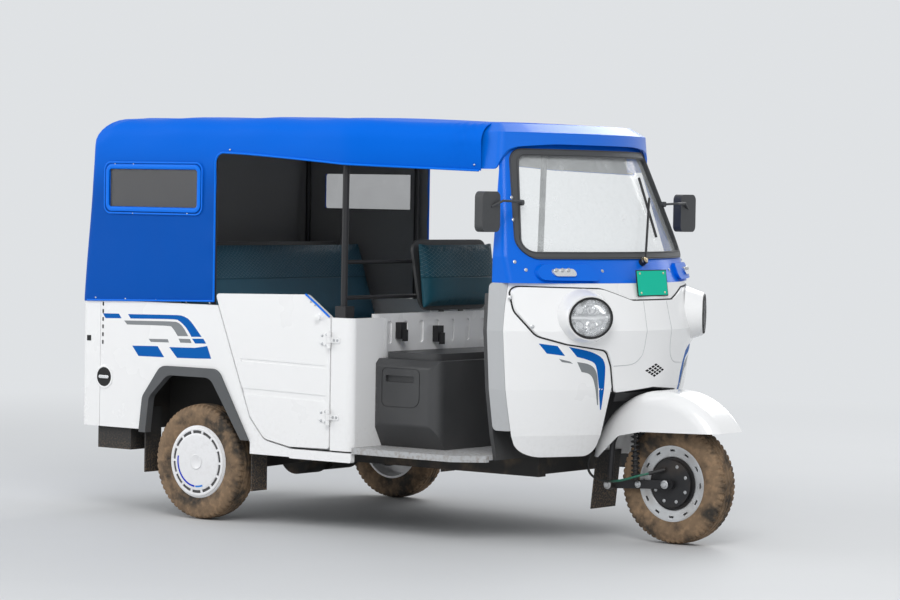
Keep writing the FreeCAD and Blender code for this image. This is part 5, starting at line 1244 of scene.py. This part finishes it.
def wheelDetails():
    # slotted cover with a cap ring and a blue arc on each rear wheel
    for side, label in ((-1, "Right"), (1, "Left")):
        cover, arc = Shape(), Shape()
        centre = at(0, side * 675.5, 250)
        out = Vector((0, side, 0))
        around = wheelCover["slots"] * wheelCover["steps"]

        def coverPoint(radius, degrees, lift):
            a = math.radians(degrees)
            rise = lerp(0.0583, 0.0623, clamp((0.146 - radius) / 0.106))
            return centre + Vector((-side * radius * math.cos(a), 0, radius * math.sin(a))) \
                + out * (rise + lift + wheelCover["proud"])

        def ring(radius, lift):
            return [coverPoint(radius, 360 * k / around, lift) for k in range(around)]
        low, high, deep = wheelCover["slotIn"], wheelCover["slotOut"], wheelCover["deep"]
        flip = side < 0
        disc = [(0.0, 0.0012), (0.040, 0.0012), (0.080, 0.0014), (0.1145, 0.0018), (0.1195, 0.0016),
                (0.1210, 0.0010), (low, 0.0010)]
        rim = [(high, 0.0010), (0.1395, 0.0018), (0.1450, 0.0018), (0.1485, 0.0006), (0.1500, -0.0030)]
        cover.grid([ring(max(r, 1e-4), lift) for r, lift in disc], True, flip=flip)
        cover.grid([ring(r, lift) for r, lift in rim], True, flip=flip)
        pitch, half, face, floor = 360 / wheelCover["slots"], wheelCover["gap"] / 2, 0.0010, 0.0010 - deep
        for slot in range(wheelCover["slots"]):
            bridge = [lerp(slot - half, slot + half, k / 3) * pitch for k in range(4)]
            cover.grid([[coverPoint(r, a, face) for a in bridge] for r in (low, high)], flip=flip)
            turn = [lerp(slot + half, slot + 1 - half, k / 9) * pitch for k in range(10)]
            well = [[coverPoint(r, a, lift) for a in turn]
                    for r, lift in ((low, face), (low + 0.0008, floor), (high - 0.0008, floor), (high, face))]
            cover.grid(well[:2], flip=flip)
            # the slot floors take the second finish, dark as painted shade
            cover.grid(well[1:3], mark=1, flip=flip)
            cover.grid(well[2:], flip=flip)
            for a in (turn[0], turn[-1]):
                cover.grid([[coverPoint(r, a, lift) for r in (low, high)] for lift in (face, floor)])
        cover.turn(centre + out * 0.0675, out,
                   [(0.0325, 0.0), (0.0325, 0.0012), (0.030, 0.0022), (0.0275, 0.0010), (0.0, 0.0009)], 48)
        for start, end, mark in ((169, 265, 0), (268, 290, 1)):
            rows = [[coverPoint(lerp(0.1035, 0.1110, k / 3), lerp(start, end, i / 40), 0.0026)
                     for k in range(4)] for i in range(41)]
            back = [[p - out * 0.003 for p in row] for row in rows]
            arc.grid(rows, mark=mark, flip=side < 0)
            arc.grid(back, mark=mark, flip=side > 0)
        body = label.lower() + "_wheel"
        cover.make("wheelCover" + label, "wheelWhite slotGrey", body, smooth=35)
        arc.make("coverArc" + label, "arcBlue arcLight", body, smooth=40)


for fitting in (headlamps, noseDetails, screenDetails, mirrorGlass, doorDetails, sideDetails, frontSuspension,
                wheelDetails):
    fitting()
print("fittings made")


# stage
studio = {"floor": (0.60, 0.61, 0.62), "backdrop": (0.74, 0.76, 0.78), "key": 400, "fill": 190, "rim": 240,
          "world": 0.60}
view = {"azimuth": 37.138, "elevation": 1.999, "roll": 0.946, "distance": 13.539, "lens": 124.0064,
        "aim": at(805.9, 0, 967.2)}


def makeStage():
    f = Finish("studioFloor")
    shader = f.tree.nodes.new("ShaderNodeBsdfPrincipled")
    speck = f.grain(2.0, 4)
    tone = f.mix(speck, tuple(c * 0.97 for c in studio["floor"]), studio["floor"])
    f.tree.links.new(tone.socket, shader.inputs["Base Color"])
    shader.inputs["Roughness"].default_value = 0.65
    glow = f.node("Emission", inputs={"Color": (*studio["backdrop"], 1.0), "Strength": 1.0})
    reach = f.node("VectorMath", {"operation": "LENGTH"}, {0: f.place}, "Value")
    seen = f.node("LightPath", output="Is Camera Ray") + f.node("LightPath", output="Is Glossy Ray") \
        + f.node("LightPath", output="Is Transmission Ray")
    factor = reach.step(2.6, 9.0) * seen.step(0.0, 1.0)
    blend = f.tree.nodes.new("ShaderNodeMixShader")
    f.tree.links.new(factor.socket, blend.inputs[0])
    f.tree.links.new(shader.outputs[0], blend.inputs[1])
    f.tree.links.new(glow.socket, blend.inputs[2])
    output = f.tree.nodes.new("ShaderNodeOutputMaterial")
    f.tree.links.new(blend.outputs[0], output.inputs["Surface"])
    floor = Shape()
    floor.turn((0, 0, -0.0012), (0, 0, 1), [(60.0, -0.01), (60.0, 0.0)], 64)
    mesh = bpy.data.meshes.new("floor")
    mesh.from_pydata([tuple(v) for v in floor.verts], [], floor.faces)
    mesh.materials.append(f.material)
    plane = bpy.data.objects.new("floor", mesh)
    bpy.context.scene.collection.objects.link(plane)

    world = bpy.data.worlds.new("studio")
    bpy.context.scene.world = world
    world.use_nodes = True
    tree = world.node_tree
    tree.nodes.clear()
    path = tree.nodes.new("ShaderNodeLightPath")
    dim, bright, mix, out = [tree.nodes.new("ShaderNode" + kind)
                             for kind in ("Background", "Background", "MixShader", "OutputWorld")]
    dim.inputs[0].default_value = (0.96, 0.98, 1.0, 1.0)
    dim.inputs[1].default_value = studio["world"]
    bright.inputs[0].default_value = (*studio["backdrop"], 1.0)
    bright.inputs[1].default_value = 1.0
    most = path.outputs["Is Camera Ray"]
    for name in ("Is Glossy Ray", "Is Transmission Ray"):
        join = tree.nodes.new("ShaderNodeMath")
        join.operation = "MAXIMUM"
        tree.links.new(most, join.inputs[0])
        tree.links.new(path.outputs[name], join.inputs[1])
        most = join.outputs[0]
    tree.links.new(most, mix.inputs[0])
    tree.links.new(dim.outputs[0], mix.inputs[1])
    tree.links.new(bright.outputs[0], mix.inputs[2])
    tree.links.new(mix.outputs[0], out.inputs[0])


def lamp(name, place, target, power, size):
    data = bpy.data.lights.new(name, "AREA")
    data.energy, data.size = power, size
    light = bpy.data.objects.new(name, data)
    light.location = place
    light.rotation_euler = (Vector(target) - Vector(place)).to_track_quat("-Z", "Y").to_euler()
    bpy.context.scene.collection.objects.link(light)


def makeCamera():
    # the photograph's view: place, aim, roll and lens from a fit to its wheels and body lines
    azimuth, elevation, roll = [math.radians(view[key]) for key in ("azimuth", "elevation", "roll")]
    away = Vector((math.sin(azimuth) * math.cos(elevation), -math.cos(azimuth) * math.cos(elevation),
                   math.sin(elevation)))
    place = view["aim"] + away * view["distance"]
    right = (-away).cross(Vector((0, 0, 1))).normalized()
    up = right.cross(-away)
    turnedRight = right * math.cos(roll) + up * math.sin(roll)
    turnedUp = up * math.cos(roll) - right * math.sin(roll)
    data = bpy.data.cameras.new("camera")
    data.sensor_width, data.lens = 36, view["lens"]
    camera = bpy.data.objects.new("camera", data)
    basis = Matrix((turnedRight, turnedUp, away)).transposed().to_4x4()
    camera.matrix_world = Matrix.Translation(place) @ basis
    bpy.context.scene.collection.objects.link(camera)
    bpy.context.scene.camera = camera


makeStage()
lamp("key", (4.5, -6.0, 6.5), (0, 0, 0.8), studio["key"], 4.5)
lamp("fill", (-6.5, -4.5, 3.5), (0, 0, 0.9), studio["fill"], 5.0)
lamp("rim", (-1.0, 7.0, 5.5), (0, 0, 1.0), studio["rim"], 5.0)
makeCamera()
bpy.context.scene.view_settings.view_transform = "Standard"
print("stage made")
